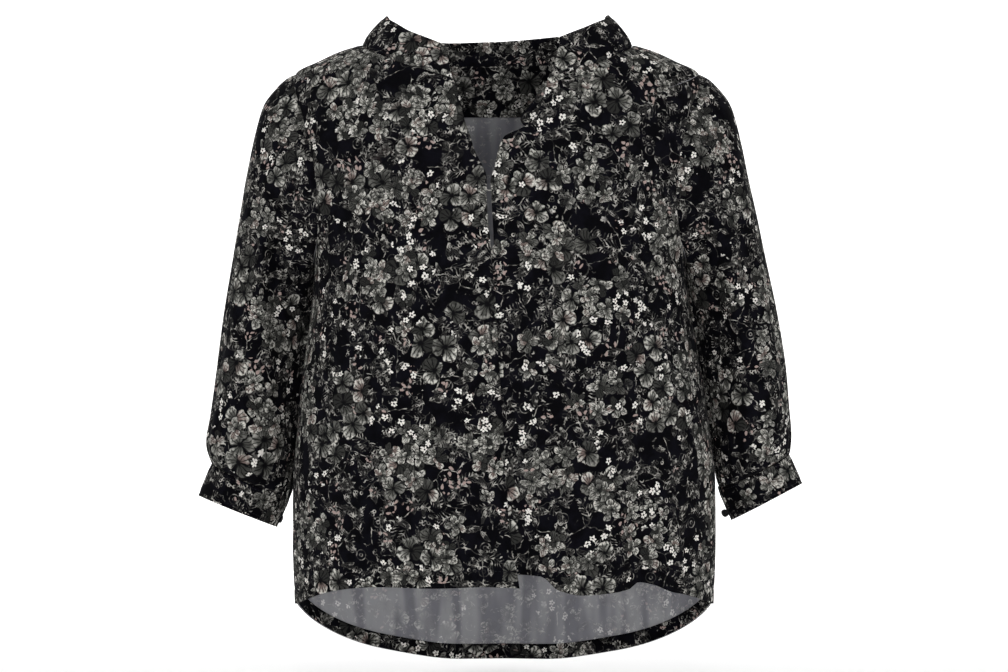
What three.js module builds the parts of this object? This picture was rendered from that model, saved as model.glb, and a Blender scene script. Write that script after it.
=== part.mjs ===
import * as THREE from "three";

// A women's blouse with a stand collar, a V neck over a short slit, a concealed front closure and
// three-quarter sleeves gathered into buttoned cuffs, filled out as if worn. Sizes are millimetres.
// X runs to the wearer's left, Y to the back, Z up. The origin is the middle of the neck, level with
// the points where the shoulder seams meet the collar.

// Cloth and seams
const clothThick = 1.2;
const cuffThick = 1.8;
const collarThick = 1.8;
const seamGap = 0.3;
const layerGap = 0.3;
const hemTurn = 18;

// Body: its sections are rounded boxes of this power, level by level
const sectionPower = 2.3;
const bodyMiddleLevel = -150;
const frontReference = -600;
const bodyLevels = [
  { z: -760, halfWidth: 233, front: 132, back: 117, sway: 6 },
  { z: -638, halfWidth: 240, front: 138, back: 121, sway: 6 },
  { z: -560, halfWidth: 242.5, front: 141, back: 123, sway: 6 },
  { z: -500, halfWidth: 242, front: 143, back: 124.5, sway: 6 },
  { z: -440, halfWidth: 236.5, front: 145, back: 126, sway: 5 },
  { z: -386, halfWidth: 230, front: 146, back: 127, sway: 4 },
  { z: -338, halfWidth: 223, front: 147, back: 128.5, sway: 3 },
  { z: -300, halfWidth: 217, front: 147.5, back: 129.5, sway: 2 },
  { z: -245, halfWidth: 213, front: 147, back: 130, sway: 1 },
  { z: -200, halfWidth: 221, front: 143, back: 129.5, sway: -1 },
  { z: -150, halfWidth: 233, front: 136, back: 127, sway: -3 },
  { z: -100, halfWidth: 241, front: 127, back: 121, sway: -4 },
  { z: -60, halfWidth: 241, front: 118.5, back: 112, sway: -3 },
  { z: -31, halfWidth: 230, front: 109, back: 103, sway: -2 },
  { z: -20, halfWidth: 208, front: 103, back: 98, sway: -2 },
  { z: -9, halfWidth: 184.5, front: 97, back: 92, sway: -2 },
  { z: 0, halfWidth: 155, front: 91, back: 87, sway: -2 },
  { z: 20, halfWidth: 89, front: 78, back: 76, sway: -2 },
];

// Where each front ends at the middle: the lap and slit below, the V neck above
const rightFrontEdge = [
  { z: -640, x: 26 },
  { z: -608, x: 23 },
  { z: -540, x: 11.5 },
  { z: -430, x: 4.7 },
  { z: -340, x: -0.8 },
  { z: -287, x: -4 },
  { z: -233, x: -8.8 },
  { z: -184, x: -12.8 },
  { z: -159, x: -13.1 },
  { z: -143, x: -19.5 },
  { z: -130, x: -26 },
  { z: -114, x: -31 },
  { z: -93, x: -38 },
  { z: -65, x: -44 },
  { z: -48, x: -51 },
];
const leftFrontEdge = [
  { z: -640, x: -4 },
  { z: -590, x: 0 },
  { z: -540, x: -15 },
  { z: -430, x: -25 },
  { z: -270, x: -30 },
  { z: -250, x: -24 },
  { z: -233, x: -5.6 },
  { z: -184, x: -7.9 },
  { z: -165, x: -9 },
  { z: -146, x: -4 },
  { z: -131, x: -1 },
  { z: -114, x: 6 },
  { z: -104, x: 26 },
  { z: -93, x: 41 },
  { z: -68, x: 49.5 },
  { z: -48, x: 54 },
];
const lapDepth = 1.8;
const lapFrom = 60;
const lapTo = 15;

// Neck seam: it drops from the shoulder point to the collar's ends in front and to the middle behind
const neckFrontDrop = -48;
const neckBackDrop = -13;
const neckFrontBend = 2.3;
const neckBackBend = 1.3;

// Hems: height at the side seams, at the middle, and the wearer's left front's own uneven edge
const sideHem = -638;
const frontHem = -606;
const backHem = -721;
const leftFrontHemWave = [
  { x: 0, rise: 14 },
  { x: 46, rise: 13 },
  { x: 65, rise: -3 },
  { x: 92, rise: -9 },
  { x: 125, rise: -7 },
  { x: 143, rise: -3 },
  { x: 154, rise: 7 },
  { x: 168, rise: 6 },
  { x: 195, rise: -2 },
  { x: 240, rise: 0 },
];
const evenHemWave = [
  { x: -240, rise: 0 },
  { x: 240, rise: 0 },
];
const hemWaveFade = 3;
const hemLayer = 1;
const hemStart = 0.5;

// Armhole: from the shoulder tip to the underarm, scooped in by this share of the half width
const shoulderTip = -31;
const underarm = -245;
const armholeScoop = 0.132;

// Where rows of the fronts that start level with the underarm and the shoulder tip reach the middle
const chestMiddle = -236;
const yokeMiddle = -100;

// Soft waves of the body: place at the hem, slant, half width, how far out, and where they begin
const bodyFolds = [
  { face: "left", x: 27, slant: 0, width: 14, out: -12, top: -500 },
  { face: "left", x: 106, slant: 0.04, width: 32, out: 7, top: -330 },
  { face: "left", x: 152, slant: 0.05, width: 17, out: -9, top: -400 },
  { face: "left", x: 184, slant: 0.05, width: 20, out: 4, top: -400 },
  { face: "right", x: -48, slant: 0.02, width: 28, out: 4, top: -300 },
  { face: "right", x: -98, slant: -0.02, width: 24, out: -5, top: -280 },
  { face: "right", x: -152, slant: -0.04, width: 30, out: 5, top: -330 },
  { face: "back", x: -128, slant: -0.05, width: 28, out: 6, top: -230 },
  { face: "back", x: -66, slant: -0.03, width: 24, out: -6, top: -200 },
  { face: "back", x: 6, slant: 0, width: 30, out: 5, top: -180 },
  { face: "back", x: 74, slant: 0.03, width: 25, out: -6, top: -220 },
  { face: "back", x: 134, slant: 0.05, width: 28, out: 6, top: -240 },
];

// Sleeve rings: outer edge in front view, inner edge as a height and its clearance from the body, half
// depth, how far back, and how much of the armhole's shape
const sleeveRings = [
  { along: 0, outX: 230, outZ: -31, inZ: -245, clear: 0, depth: 78, back: 0, seam: 1, sway: -2 },
  { along: 0.05, outX: 242, outZ: -37, inZ: -249, clear: 0.8, depth: 78.5, back: 2, seam: 0.93, sway: -2 },
  { along: 0.11, outX: 255, outZ: -49, inZ: -255, clear: 1, depth: 78.5, back: 4, seam: 0.8, sway: -2 },
  { along: 0.18, outX: 268, outZ: -66, inZ: -264, clear: 1.1, depth: 78, back: 6, seam: 0.6, sway: -2.3 },
  { along: 0.26, outX: 278.5, outZ: -99, inZ: -278, clear: 1.1, depth: 76.5, back: 8, seam: 0.38, sway: -2.3 },
  { along: 0.35, outX: 288.5, outZ: -146, inZ: -297, clear: 1.1, depth: 75, back: 9.5, seam: 0.18, sway: -2.3 },
  { along: 0.45, outX: 297.5, outZ: -192, inZ: -322, clear: 1.1, depth: 73, back: 11, seam: 0.05, sway: -1 },
  { along: 0.56, outX: 307.5, outZ: -245, inZ: -354, clear: 1.1, depth: 70.5, back: 12, seam: 0, sway: 0 },
  { along: 0.67, outX: 318.5, outZ: -302, inZ: -390, clear: 1.1, depth: 68, back: 13, seam: 0, sway: 1.3 },
  { along: 0.78, outX: 328, outZ: -365, inZ: -428, clear: 1.2, depth: 66, back: 14, seam: 0, sway: 2.3 },
  { along: 0.88, outX: 333.8, outZ: -415, inZ: -464, clear: 1.3, depth: 64, back: 15, seam: 0, sway: 1 },
  { along: 0.95, outX: 337.7, outZ: -450, inZ: -495, clear: 2.2, depth: 59, back: 15.5, seam: 0, sway: -0.7 },
  { along: 1, outX: 334, outZ: -473, inZ: -512, clear: 6, depth: 46, back: 15.5, seam: 0, sway: 1.5 },
];
const sleeveSkew = 5.5;
const sleeveFolds = [
  { angle: 62, width: 15, out: -5, from: 0.12, to: 0.9 },
  { angle: 96, width: 16, out: 3, from: 0.2, to: 0.95 },
  { angle: 128, width: 15, out: -3, from: 0.3, to: 0.97 },
  { angle: 236, width: 16, out: -5, from: 0.25, to: 0.95 },
  { angle: 292, width: 18, out: -4, from: 0.15, to: 0.9 },
];

// Hollow down the front of each sleeve beside the body: the angle it sinks from and its depth
const sleeveHollows = [
  { along: 0, edgeRight: 112, deepRight: 0, edgeLeft: 122, deepLeft: 0 },
  { along: 0.08, edgeRight: 106, deepRight: 1.5, edgeLeft: 118, deepLeft: 1.5 },
  { along: 0.2, edgeRight: 86, deepRight: 11, edgeLeft: 106, deepLeft: 9 },
  { along: 0.34, edgeRight: 78, deepRight: 18, edgeLeft: 103, deepLeft: 16 },
  { along: 0.5, edgeRight: 93, deepRight: 19, edgeLeft: 107, deepLeft: 17 },
  { along: 0.66, edgeRight: 112, deepRight: 16, edgeLeft: 115, deepLeft: 15 },
  { along: 0.82, edgeRight: 134, deepRight: 10, edgeLeft: 129, deepLeft: 9 },
  { along: 0.94, edgeRight: 150, deepRight: 1, edgeLeft: 146, deepLeft: 1 },
  { along: 1, edgeRight: 152, deepRight: 0, edgeLeft: 150, deepLeft: 0 },
];
const hollowSoftness = 13;
const hollowEnd = 158;

const gathers = 20;
const gatherHeight = 1.9;
const gatherFrom = 0.84;
const gatherTo = 0.97;

// Cuff: a band whose buttoned end laps over its other end. Angles are degrees round the wrist, 90 in
// front, 180 beside the body and 270 behind
const cuffWidth = 39;
const cuffSpread = { x: 16, z: -37 };
const cuffFrontRise = 7;
const cuffTilt = 1.5;
const cuffTaper = 0.4;
const cuffEnds = {
  right: { under: 224, top: 191, button: 200, buttonTilt: 0 },
  left: { under: 200, top: 167, button: 176, buttonTilt: 28 },
};
const cuffLapSpan = 60;
const buttonDown = 0.74;
const buttonRadius = 4.6;
const buttonThick = 2.2;

// Collar band: height and inward lean from the middle of the back to its front ends; the wearer's left
// side stands higher than the right by twice the skew
const collarShape = [
  { turn: -90, rise: 31, skew: 0, lean: 8 },
  { turn: -68, rise: 28.5, skew: 3.5, lean: 11 },
  { turn: -35, rise: 34, skew: 3, lean: 20 },
  { turn: 0, rise: 33.5, skew: 0.5, lean: 30 },
  { turn: 45, rise: 36, skew: 1, lean: 25.5 },
  { turn: 64, rise: 37.5, skew: 3, lean: 20 },
  { turn: 80, rise: 35.5, skew: 3, lean: 17 },
];
const collarSlantRight = 0.018;
const collarSlantLeft = 0.035;
const collarSwell = 3;
const collarMiddleLevel = -30;

// Back neck facing and the facing that shows inside the wearer's left neckline
const facingLevel = -69;
const facingInset = 0.05;
const neckFacingEdge = [
  { z: -105, x: 36 },
  { z: -100, x: 26.5 },
  { z: -94, x: 23.5 },
  { z: -79, x: 34 },
  { z: -68, x: 41 },
  { z: -52, x: 49 },
];
const neckFacingInner = 72;
const neckFacingHang = 5;
const neckFacingHangFade = 28;
const neckFacingClear = 0.4;
const neckFacingRows = 6;

// How finely each piece is divided
const bodyRows = 10;
const armholeRows = 10;
const shoulderRows = 3;
const frontColumns = 16;
const backColumns = 14;
const sleeveColumns = 2 * gathers;
const sleeveSteps = 13;
const cuffColumns = 36;
const collarColumns = 40;
const collarSteps = 3;
const cuffSteps = 2;
const neckFacingColumns = 4;
const buttonSides = 20;

// Steps used to find a surface's normal
const turnStep = 0.01;
const heightStep = 0.5;
const stationStep = 0.004;
const shareStep = 0.05;
const degreeStep = 2;

const radians = THREE.MathUtils.degToRad;
const mix = THREE.MathUtils.lerp;
const rise = (value, from, to) => THREE.MathUtils.smoothstep(value, from, to);
const signedPower = (value, power) => Math.sign(value) * Math.abs(value) ** power;

// A named column of a table at a place between its rows, by a cubic that doesn't overshoot them
function read(table, key, column, place) {
  const last = table.length - 1;
  const slope = (i) => (table[i + 1][column] - table[i][column]) / (table[i + 1][key] - table[i][key]);
  const tangent = (i) => {
    if (i === 0) return slope(0);
    if (i === last) return slope(last - 1);
    const before = slope(i - 1);
    const after = slope(i);
    return before * after <= 0 ? 0 : (2 * before * after) / (before + after);
  };
  if (place <= table[0][key]) return table[0][column] + tangent(0) * (place - table[0][key]);
  if (place >= table[last][key]) return table[last][column] + tangent(last) * (place - table[last][key]);
  let i = 0;
  while (place > table[i + 1][key]) i += 1;
  const span = table[i + 1][key] - table[i][key];
  const t = (place - table[i][key]) / span;
  const startPart = table[i][column] * (1 - 3 * t * t + 2 * t ** 3) + span * tangent(i) * t * (1 - t) ** 2;
  const endPart = table[i + 1][column] * (3 * t * t - 2 * t ** 3) - span * tangent(i + 1) * t * t * (1 - t);
  return startPart + endPart;
}

// Outward face of the body: side is -1 for the wearer's right; turn goes from the middle of the back
// (-90 degrees) over the side seam (0) to the middle of the front (90 degrees)
function bodyPoint(side, turn, z) {
  const level = (column) => read(bodyLevels, "z", column, z);
  const across = signedPower(Math.cos(turn), 2 / sectionPower);
  const out = signedPower(Math.sin(turn), 2 / sectionPower);
  const x = side * level("halfWidth") * across + level("sway");
  const depth = out > 0 ? level("front") : level("back");
  const inFront = out > 0;
  const face = inFront ? (side < 0 ? "right" : "left") : "back";
  let swell = 0;
  for (const fold of bodyFolds.filter((f) => f.face === face)) {
    const from = x - fold.x - fold.slant * (z - frontReference);
    swell += fold.out * Math.exp(-((from / fold.width) ** 2)) * (1 - rise(z, frontReference, fold.top));
  }
  const lap = inFront && side > 0 ? lapDepth * (1 - rise(x, lapTo, lapFrom)) : 0;
  return new THREE.Vector3(x, -depth * out - Math.sign(out) * swell * Math.abs(out) + lap, z);
}

// Unit normal of a surface given by two parameters, on the side that faces away from a point within
function normalOf(surface, a, b, stepA, stepB, within) {
  const alongA = surface(a + stepA, b).sub(surface(a - stepA, b));
  const alongB = surface(a, b + stepB).sub(surface(a, b - stepB));
  const normal = alongA.cross(alongB).normalize();
  return normal.dot(surface(a, b).sub(within)) < 0 ? normal.negate() : normal;
}

const bodyMiddle = new THREE.Vector3(0, 0, bodyMiddleLevel);

// A place on the body's face with its normal, moved in by a depth; fronts and back part at the side seams
function bodyPlace(side, turn, z, inwards = 0, forward = 0) {
  const middle = z < bodyMiddle.z ? new THREE.Vector3(0, 0, z) : bodyMiddle;
  const normal = normalOf((a, b) => bodyPoint(side, a, b), turn, z, turnStep, heightStep, middle);
  const point = bodyPoint(side, turn, z).addScaledVector(normal, -inwards);
  point.y -= (forward * seamGap) / 2;
  return { point, normal };
}

// Where a front's middle edge is at a height, and the turn at which the body's face reaches a given x
const middleEdgeAt = (side, z) => read(side < 0 ? rightFrontEdge : leftFrontEdge, "z", "x", z);

function turnAt(side, x, z) {
  const share = (side * (x - read(bodyLevels, "z", "sway", z))) / read(bodyLevels, "z", "halfWidth", z);
  return Math.acos(signedPower(THREE.MathUtils.clamp(share, -1, 1), sectionPower / 2));
}

// The armhole's edge on the body's face: angle 0 at the shoulder tip, pi at the underarm, front first
function armholePlace(angle) {
  const z = mix(shoulderTip, underarm, (1 - Math.cos(angle)) / 2);
  const share = 1 - armholeScoop * Math.sin(angle) ** 2;
  const turn = Math.acos(Math.min(1, share ** (sectionPower / 2)));
  return { z, turn: Math.sin(angle) < 0 ? -turn : turn };
}

// The armhole's edge as the panels' rows divide it
function armholeEdge(side, angle) {
  const step = Math.PI / armholeRows;
  const first = Math.floor(angle / step + 1e-6);
  const [from, to] = [first, first + 1].map((row) => {
    const place = armholePlace(row * step);
    return bodyPoint(side, place.turn, place.z);
  });
  return from.lerp(to, angle / step - first);
}

// The outer boundary of a panel, row by row: side seam, armhole, then shoulder seam; face is 1 in front
// and -1 behind
function panelEdge(row, face) {
  if (row <= 1) return { turn: 0, z: sideHem + row * hemTurn };
  if (row <= bodyRows) return { turn: 0, z: mix(sideHem + hemTurn, underarm, (row - 1) / (bodyRows - 1)) };
  if (row < bodyRows + armholeRows) {
    const place = armholePlace(Math.PI * (1 - (row - bodyRows) / armholeRows));
    return { turn: face * Math.abs(place.turn), z: place.z };
  }
  return { turn: 0, z: mix(shoulderTip, 0, (row - bodyRows - armholeRows) / shoulderRows) };
}

// Rows of the panels: the height where each group of rows meets the middle, and how its height runs across
const allRows = bodyRows + armholeRows + shoulderRows;
const frontGroups = [
  { row: 0, middle: frontHem, early: 2.1, late: 6.5 },
  { row: 1, middle: frontHem + hemTurn, early: 2.1, late: 6.5 },
  { row: bodyRows, middle: chestMiddle, early: 1, late: 1 },
  { row: bodyRows + armholeRows, middle: yokeMiddle, early: 1.4, late: 1 },
  { row: allRows, middle: neckFrontDrop, early: neckFrontBend, late: 1 },
];
const backGroups = [
  { row: 0, middle: backHem, early: 1.3, late: 2.3 },
  { row: 1, middle: backHem + hemTurn, early: 1.3, late: 2.3 },
  { row: bodyRows, middle: underarm, early: 1, late: 1 },
  { row: bodyRows + armholeRows, middle: facingLevel, early: 1.3, late: 2.5 },
  { row: allRows, middle: neckBackDrop, early: neckBackBend, late: 1 },
];

function groupValue(groups, column, row) {
  const next = groups.findIndex((group) => group.row >= row);
  if (next <= 0) return groups[0][column];
  const [from, to] = [groups[next - 1], groups[next]];
  return mix(from[column], to[column], (row - from.row) / (to.row - from.row));
}

function heightAcross(groups, row, edgeZ, middleZ, share) {
  const early = groupValue(groups, "early", row);
  const late = groupValue(groups, "late", row);
  return mix(edgeZ, middleZ, 1 - (1 - share ** early) ** late);
}

// A place on a front: share runs from the outer boundary (0) to the middle edge (1)
function frontPlace(side, share, row, inwards = 0) {
  const edge = panelEdge(row, 1);
  const middleZ = groupValue(frontGroups, "middle", row);
  const middleTurn = turnAt(side, middleEdgeAt(side, middleZ), middleZ);
  const turn = mix(edge.turn, middleTurn, share);
  let z = heightAcross(frontGroups, row, edge.z, middleZ, share);
  const wave = side < 0 ? evenHemWave : leftFrontHemWave;
  const fade = Math.max(0, 1 - row / bodyRows) ** hemWaveFade;
  z += fade * Math.sqrt(share) * read(wave, "x", "rise", bodyPoint(side, turn, z).x);
  return bodyPlace(side, turn, z, inwards, 1);
}

// A place on the back: share runs from the wearer's right (-1) over the middle (0) to the left (1)
function backPlace(share, row, inwards = 0) {
  const side = share < 0 ? -1 : 1;
  const edge = panelEdge(row, -1);
  const toMiddle = 1 - Math.abs(share);
  const turn = mix(edge.turn, -Math.PI / 2, toMiddle);
  const z = heightAcross(backGroups, row, edge.z, groupValue(backGroups, "middle", row), toMiddle);
  return bodyPlace(side, turn, z, inwards, -1);
}

// The neck seam's height at a turn, dropping to the collar's end in front and to the middle behind
function neckEndTurn(side) {
  return turnAt(side, middleEdgeAt(side, neckFrontDrop), neckFrontDrop);
}

function neckHeight(side, turn) {
  if (turn > 0) return neckFrontDrop * (turn / neckEndTurn(side)) ** neckFrontBend;
  return neckBackDrop * (-turn / (Math.PI / 2)) ** neckBackBend;
}

// Collar face: station from the wearer's right end (-1) over the middle of the back (0) to the left end (1)
function collarPoint(station, height) {
  const side = station < 0 ? -1 : 1;
  const slant = side < 0 ? collarSlantRight : collarSlantLeft;
  const reach = Math.abs(station) * (1 - slant * height);
  const turn = mix(-Math.PI / 2, neckEndTurn(side), reach);
  const base = bodyPoint(side, turn, neckHeight(side, turn));
  const degrees = THREE.MathUtils.radToDeg(turn);
  const inward = new THREE.Vector3(-base.x, -base.y, 0).normalize();
  const shape = (column) => read(collarShape, "turn", column, degrees);
  const lean = shape("lean") * height - collarSwell * 4 * height * (1 - height);
  const stand = shape("rise") + side * shape("skew");
  const lift = seamGap + stand * height;
  return base.addScaledVector(inward, lean).add(new THREE.Vector3(0, 0, lift));
}

// Sleeve face: angle 0 along the top and outside, pi at the underarm side, the front first
function sleeveRing(side, angle, along) {
  const ring = (column) => read(sleeveRings, "along", column, along);
  const inSway = read(bodyLevels, "z", "sway", ring("inZ"));
  const inX = read(bodyLevels, "z", "halfWidth", ring("inZ")) + ring("clear");
  const outer = new THREE.Vector3(side * ring("outX") + ring("sway"), ring("back"), ring("outZ"));
  const inner = new THREE.Vector3(side * inX + inSway, ring("back"), ring("inZ"));
  const point = inner.lerp(outer, (1 + Math.cos(angle)) / 2);
  point.y -= ring("depth") * Math.sin(angle);
  point.z += side * sleeveSkew * THREE.MathUtils.clamp(along, 0, 1) ** 2;
  return point;
}

function sleeveMiddle(side, along) {
  return sleeveRing(side, 0, along).add(sleeveRing(side, Math.PI, along)).multiplyScalar(0.5);
}

function sleevePoint(side, angle, along) {
  const whole = 2 * Math.PI;
  const round = ((angle % whole) + whole) % whole;
  const degrees = THREE.MathUtils.radToDeg(round);
  const seam = THREE.MathUtils.clamp(read(sleeveRings, "along", "seam", along), 0, 1);
  const point = sleeveRing(side, round, along);
  point.addScaledVector(armholeEdge(side, round).sub(sleeveRing(side, round, 0)), seam);
  let swell = 0;
  for (const fold of sleeveFolds) {
    const from = degrees - fold.angle;
    const middle = (fold.from + fold.to) / 2;
    const length = 1 - rise(Math.abs(along - middle), 0, (fold.to - fold.from) / 2);
    swell += fold.out * Math.exp(-((from / fold.width) ** 2)) * length;
  }
  swell += gatherHeight * Math.cos(gathers * round) * rise(along, gatherFrom, gatherTo);
  const hollow = (column) => read(sleeveHollows, "along", column + (side < 0 ? "Right" : "Left"), along);
  const sinking = rise(degrees - hollow("edge"), -hollowSoftness, hollowSoftness);
  const coming = 1 - rise(degrees, hollowEnd, 180);
  const outward = point.clone().sub(sleeveMiddle(side, along)).normalize();
  point.addScaledVector(outward, swell);
  point.x += side * seamGap;
  point.y += hollow("deep") * sinking * coming;
  return point;
}

// Cuff face: degrees round the wrist, falling from the under end past the outside to the lapped end
function cuffPoint(side, degrees, down) {
  const point = sleeveRing(side, radians(degrees), 1);
  const outward = point.clone().sub(sleeveMiddle(side, 1)).normalize();
  const under = cuffEnds[side < 0 ? "right" : "left"].under - 360;
  const overlap = 1 - rise(degrees, under, under + cuffLapSpan);
  point.addScaledVector(outward, overlap * (cuffThick + layerGap) - cuffTaper * down);
  point.addScaledVector(cuffFall(side), 2 * seamGap + cuffWidth * down);
  const lift = cuffFrontRise * Math.sin(radians(degrees)) + side * cuffTilt * Math.cos(radians(degrees));
  return point.add(new THREE.Vector3(side * seamGap, 0, lift * down));
}

function cuffFall(side) {
  return new THREE.Vector3(side * cuffSpread.x, 0, cuffSpread.z).normalize();
}

function material(name, color, roughness) {
  const made = new THREE.MeshStandardMaterial({ color, roughness, metalness: 0, side: THREE.DoubleSide });
  made.name = name;
  return made;
}

const printedViscose = material("printed_viscose", 0x3a3b3d, 0.85);
const buttonPlastic = material("button_plastic", 0x17171a, 0.45);

// A closed wall between a face and the same face moved inwards; ring joins the last column to the first
function wall(name, columns, rows, place, thickness, ring = false) {
  const across = ring ? columns : columns + 1;
  const positions = [];
  for (const depth of [0, thickness]) {
    for (let j = 0; j <= rows; j += 1) {
      for (let i = 0; i < across; i += 1) {
        const { point, normal } = place(i / columns, j);
        const moved = point.clone().addScaledVector(normal, -depth);
        positions.push(moved.x, moved.y, moved.z);
      }
    }
  }
  const layer = across * (rows + 1);
  const at = (i, j, inner) => (inner ? layer : 0) + j * across + (i % across);
  const faces = [];
  const quad = (a, b, c, d) => faces.push(a, b, c, a, c, d);
  for (let j = 0; j < rows; j += 1) {
    for (let i = 0; i < columns; i += 1) {
      quad(at(i, j, false), at(i + 1, j, false), at(i + 1, j + 1, false), at(i, j + 1, false));
      quad(at(i, j, true), at(i, j + 1, true), at(i + 1, j + 1, true), at(i + 1, j, true));
    }
  }
  for (let i = 0; i < columns; i += 1) {
    quad(at(i + 1, 0, false), at(i, 0, false), at(i, 0, true), at(i + 1, 0, true));
    quad(at(i, rows, false), at(i + 1, rows, false), at(i + 1, rows, true), at(i, rows, true));
  }
  for (let j = 0; j < rows && !ring; j += 1) {
    quad(at(0, j, false), at(0, j + 1, false), at(0, j + 1, true), at(0, j, true));
    quad(at(columns, j + 1, false), at(columns, j, false), at(columns, j, true), at(columns, j + 1, true));
  }
  return meshOf(name, positions, faces, printedViscose);
}

// A mesh whose faces are turned to point outwards
function meshOf(name, positions, faces, finish) {
  const corner = (index) => new THREE.Vector3().fromArray(positions, 3 * index);
  let volume = 0;
  for (let i = 0; i < faces.length; i += 3) {
    volume += corner(faces[i]).dot(corner(faces[i + 1]).cross(corner(faces[i + 2])));
  }
  const outward = volume < 0 ? faces.toReversed() : faces;
  const geometry = new THREE.BufferGeometry();
  geometry.setAttribute("position", new THREE.Float32BufferAttribute(positions, 3));
  geometry.setIndex(outward);
  geometry.computeVertexNormals();
  const mesh = new THREE.Mesh(geometry, finish);
  mesh.name = name;
  return mesh;
}

const sides = [
  { side: -1, name: "right" },
  { side: 1, name: "left" },
];

const blouse = new THREE.Group();
blouse.name = "blouse";

// Fronts and back
for (const { side, name } of sides) {
  const place = (share, row) => frontPlace(side, share, row);
  blouse.add(wall(`front_${name}`, frontColumns, allRows, place, clothThick));
}
blouse.add(wall("back", 2 * backColumns, allRows, (share, row) => backPlace(2 * share - 1, row), clothThick));

// Turned-up hems, laid inside their panels' own columns and stopping short of the lap
const layerStep = clothThick + layerGap;
function hemStrip(name, columns, columnPlace) {
  const place = (share, step) => {
    const column = Math.round(share * columns);
    const low = columnPlace(column, 0);
    const high = columnPlace(column, 1);
    const reach = mix(hemStart, hemTurn, step) / hemTurn;
    const normal = low.normal.lerp(high.normal, reach).normalize();
    return { point: low.point.lerp(high.point, reach), normal };
  };
  return wall(name, columns, 1, place, hemLayer);
}
for (const { side, name } of sides) {
  const place = (column, row) => frontPlace(side, column / frontColumns, row, layerStep);
  blouse.add(hemStrip(`hem_${name}`, frontColumns - 2, place));
}
const backHemPlace = (column, row) => backPlace(column / backColumns - 1, row, layerStep);
blouse.add(hemStrip("hem_back", 2 * backColumns, backHemPlace));

// Facings inside the neck: one across the back's top rows, one behind the wearer's left neckline
const facingRow = bodyRows + armholeRows;
const backFacingPlace = (share, step) => {
  const column = Math.round(mix(1, 2 * backColumns - 1, share));
  const row = Math.min(facingRow + step, allRows - facingInset);
  return backPlace(column / backColumns - 1, row, layerStep);
};
blouse.add(wall("back_facing", 2 * backColumns - 2, shoulderRows, backFacingPlace, clothThick));

const neckFacingPlace = (share, step) => {
  const [low, high] = [neckFacingEdge[0].z, neckFacingEdge.at(-1).z];
  const z = mix(low, high, step / neckFacingRows);
  const x = mix(read(neckFacingEdge, "z", "x", z), neckFacingInner, share);
  const hang = neckFacingHang * (1 - share) * rise(-z, -high, -high + neckFacingHangFade);
  const place = bodyPlace(1, turnAt(1, x, z), z, layerStep + neckFacingClear, 1);
  place.point.y += hang;
  return place;
};
blouse.add(wall("neck_facing", neckFacingColumns, neckFacingRows, neckFacingPlace, clothThick));

// Collar band
const collarMiddle = new THREE.Vector3(0, 0, collarMiddleLevel);
const collarPlace = (share, step) => {
  const station = 2 * share - 1;
  const height = step / collarSteps;
  const normal = normalOf(collarPoint, station, height, stationStep, shareStep, collarMiddle);
  return { point: collarPoint(station, height), normal };
};
blouse.add(wall("collar", collarColumns, collarSteps, collarPlace, collarThick));

// Sleeves, cuffs and cuff buttons
for (const { side, name } of sides) {
  const sleevePlace = (share, step) => {
    const angle = 2 * Math.PI * share;
    const along = step / sleeveSteps;
    const surface = (a, b) => sleevePoint(side, a, b);
    return {
      point: surface(angle, along),
      normal: normalOf(surface, angle, along, Math.PI / (2 * gathers), turnStep, sleeveMiddle(side, along)),
    };
  };
  blouse.add(wall(`sleeve_${name}`, sleeveColumns, sleeveSteps, sleevePlace, clothThick, true));

  const cuffPlace = (degrees, down) => {
    const surface = (a, b) => cuffPoint(side, a, b);
    const within = sleeveMiddle(side, 1).addScaledVector(cuffFall(side), cuffWidth * down);
    const normal = normalOf(surface, degrees, down, degreeStep, shareStep, within);
    return { point: surface(degrees, down), normal };
  };
  const ends = cuffEnds[name];
  const cuffFace = (share, step) => cuffPlace(mix(ends.under, ends.top - 360, share), step / cuffSteps);
  blouse.add(wall(`cuff_${name}`, cuffColumns, cuffSteps, cuffFace, cuffThick));

  const seat = cuffPlace(ends.button - 360, buttonDown);
  const disc = new THREE.CylinderGeometry(buttonRadius, buttonRadius, buttonThick, buttonSides);
  const button = new THREE.Mesh(disc, buttonPlastic);
  button.name = `cuff_button_${name}`;
  const forward = new THREE.Vector3(0, -1, 0);
  const facing = seat.normal.clone().lerp(forward, Math.sin(radians(ends.buttonTilt))).normalize();
  const tilt = facing.angleTo(seat.normal);
  const off = layerGap + (buttonThick / 2) * Math.cos(tilt) + buttonRadius * Math.sin(tilt);
  button.quaternion.setFromUnitVectors(new THREE.Vector3(0, 1, 0), facing);
  button.position.copy(seat.point).addScaledVector(seat.normal, off);
  blouse.add(button);
}

export default blouse;
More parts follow.
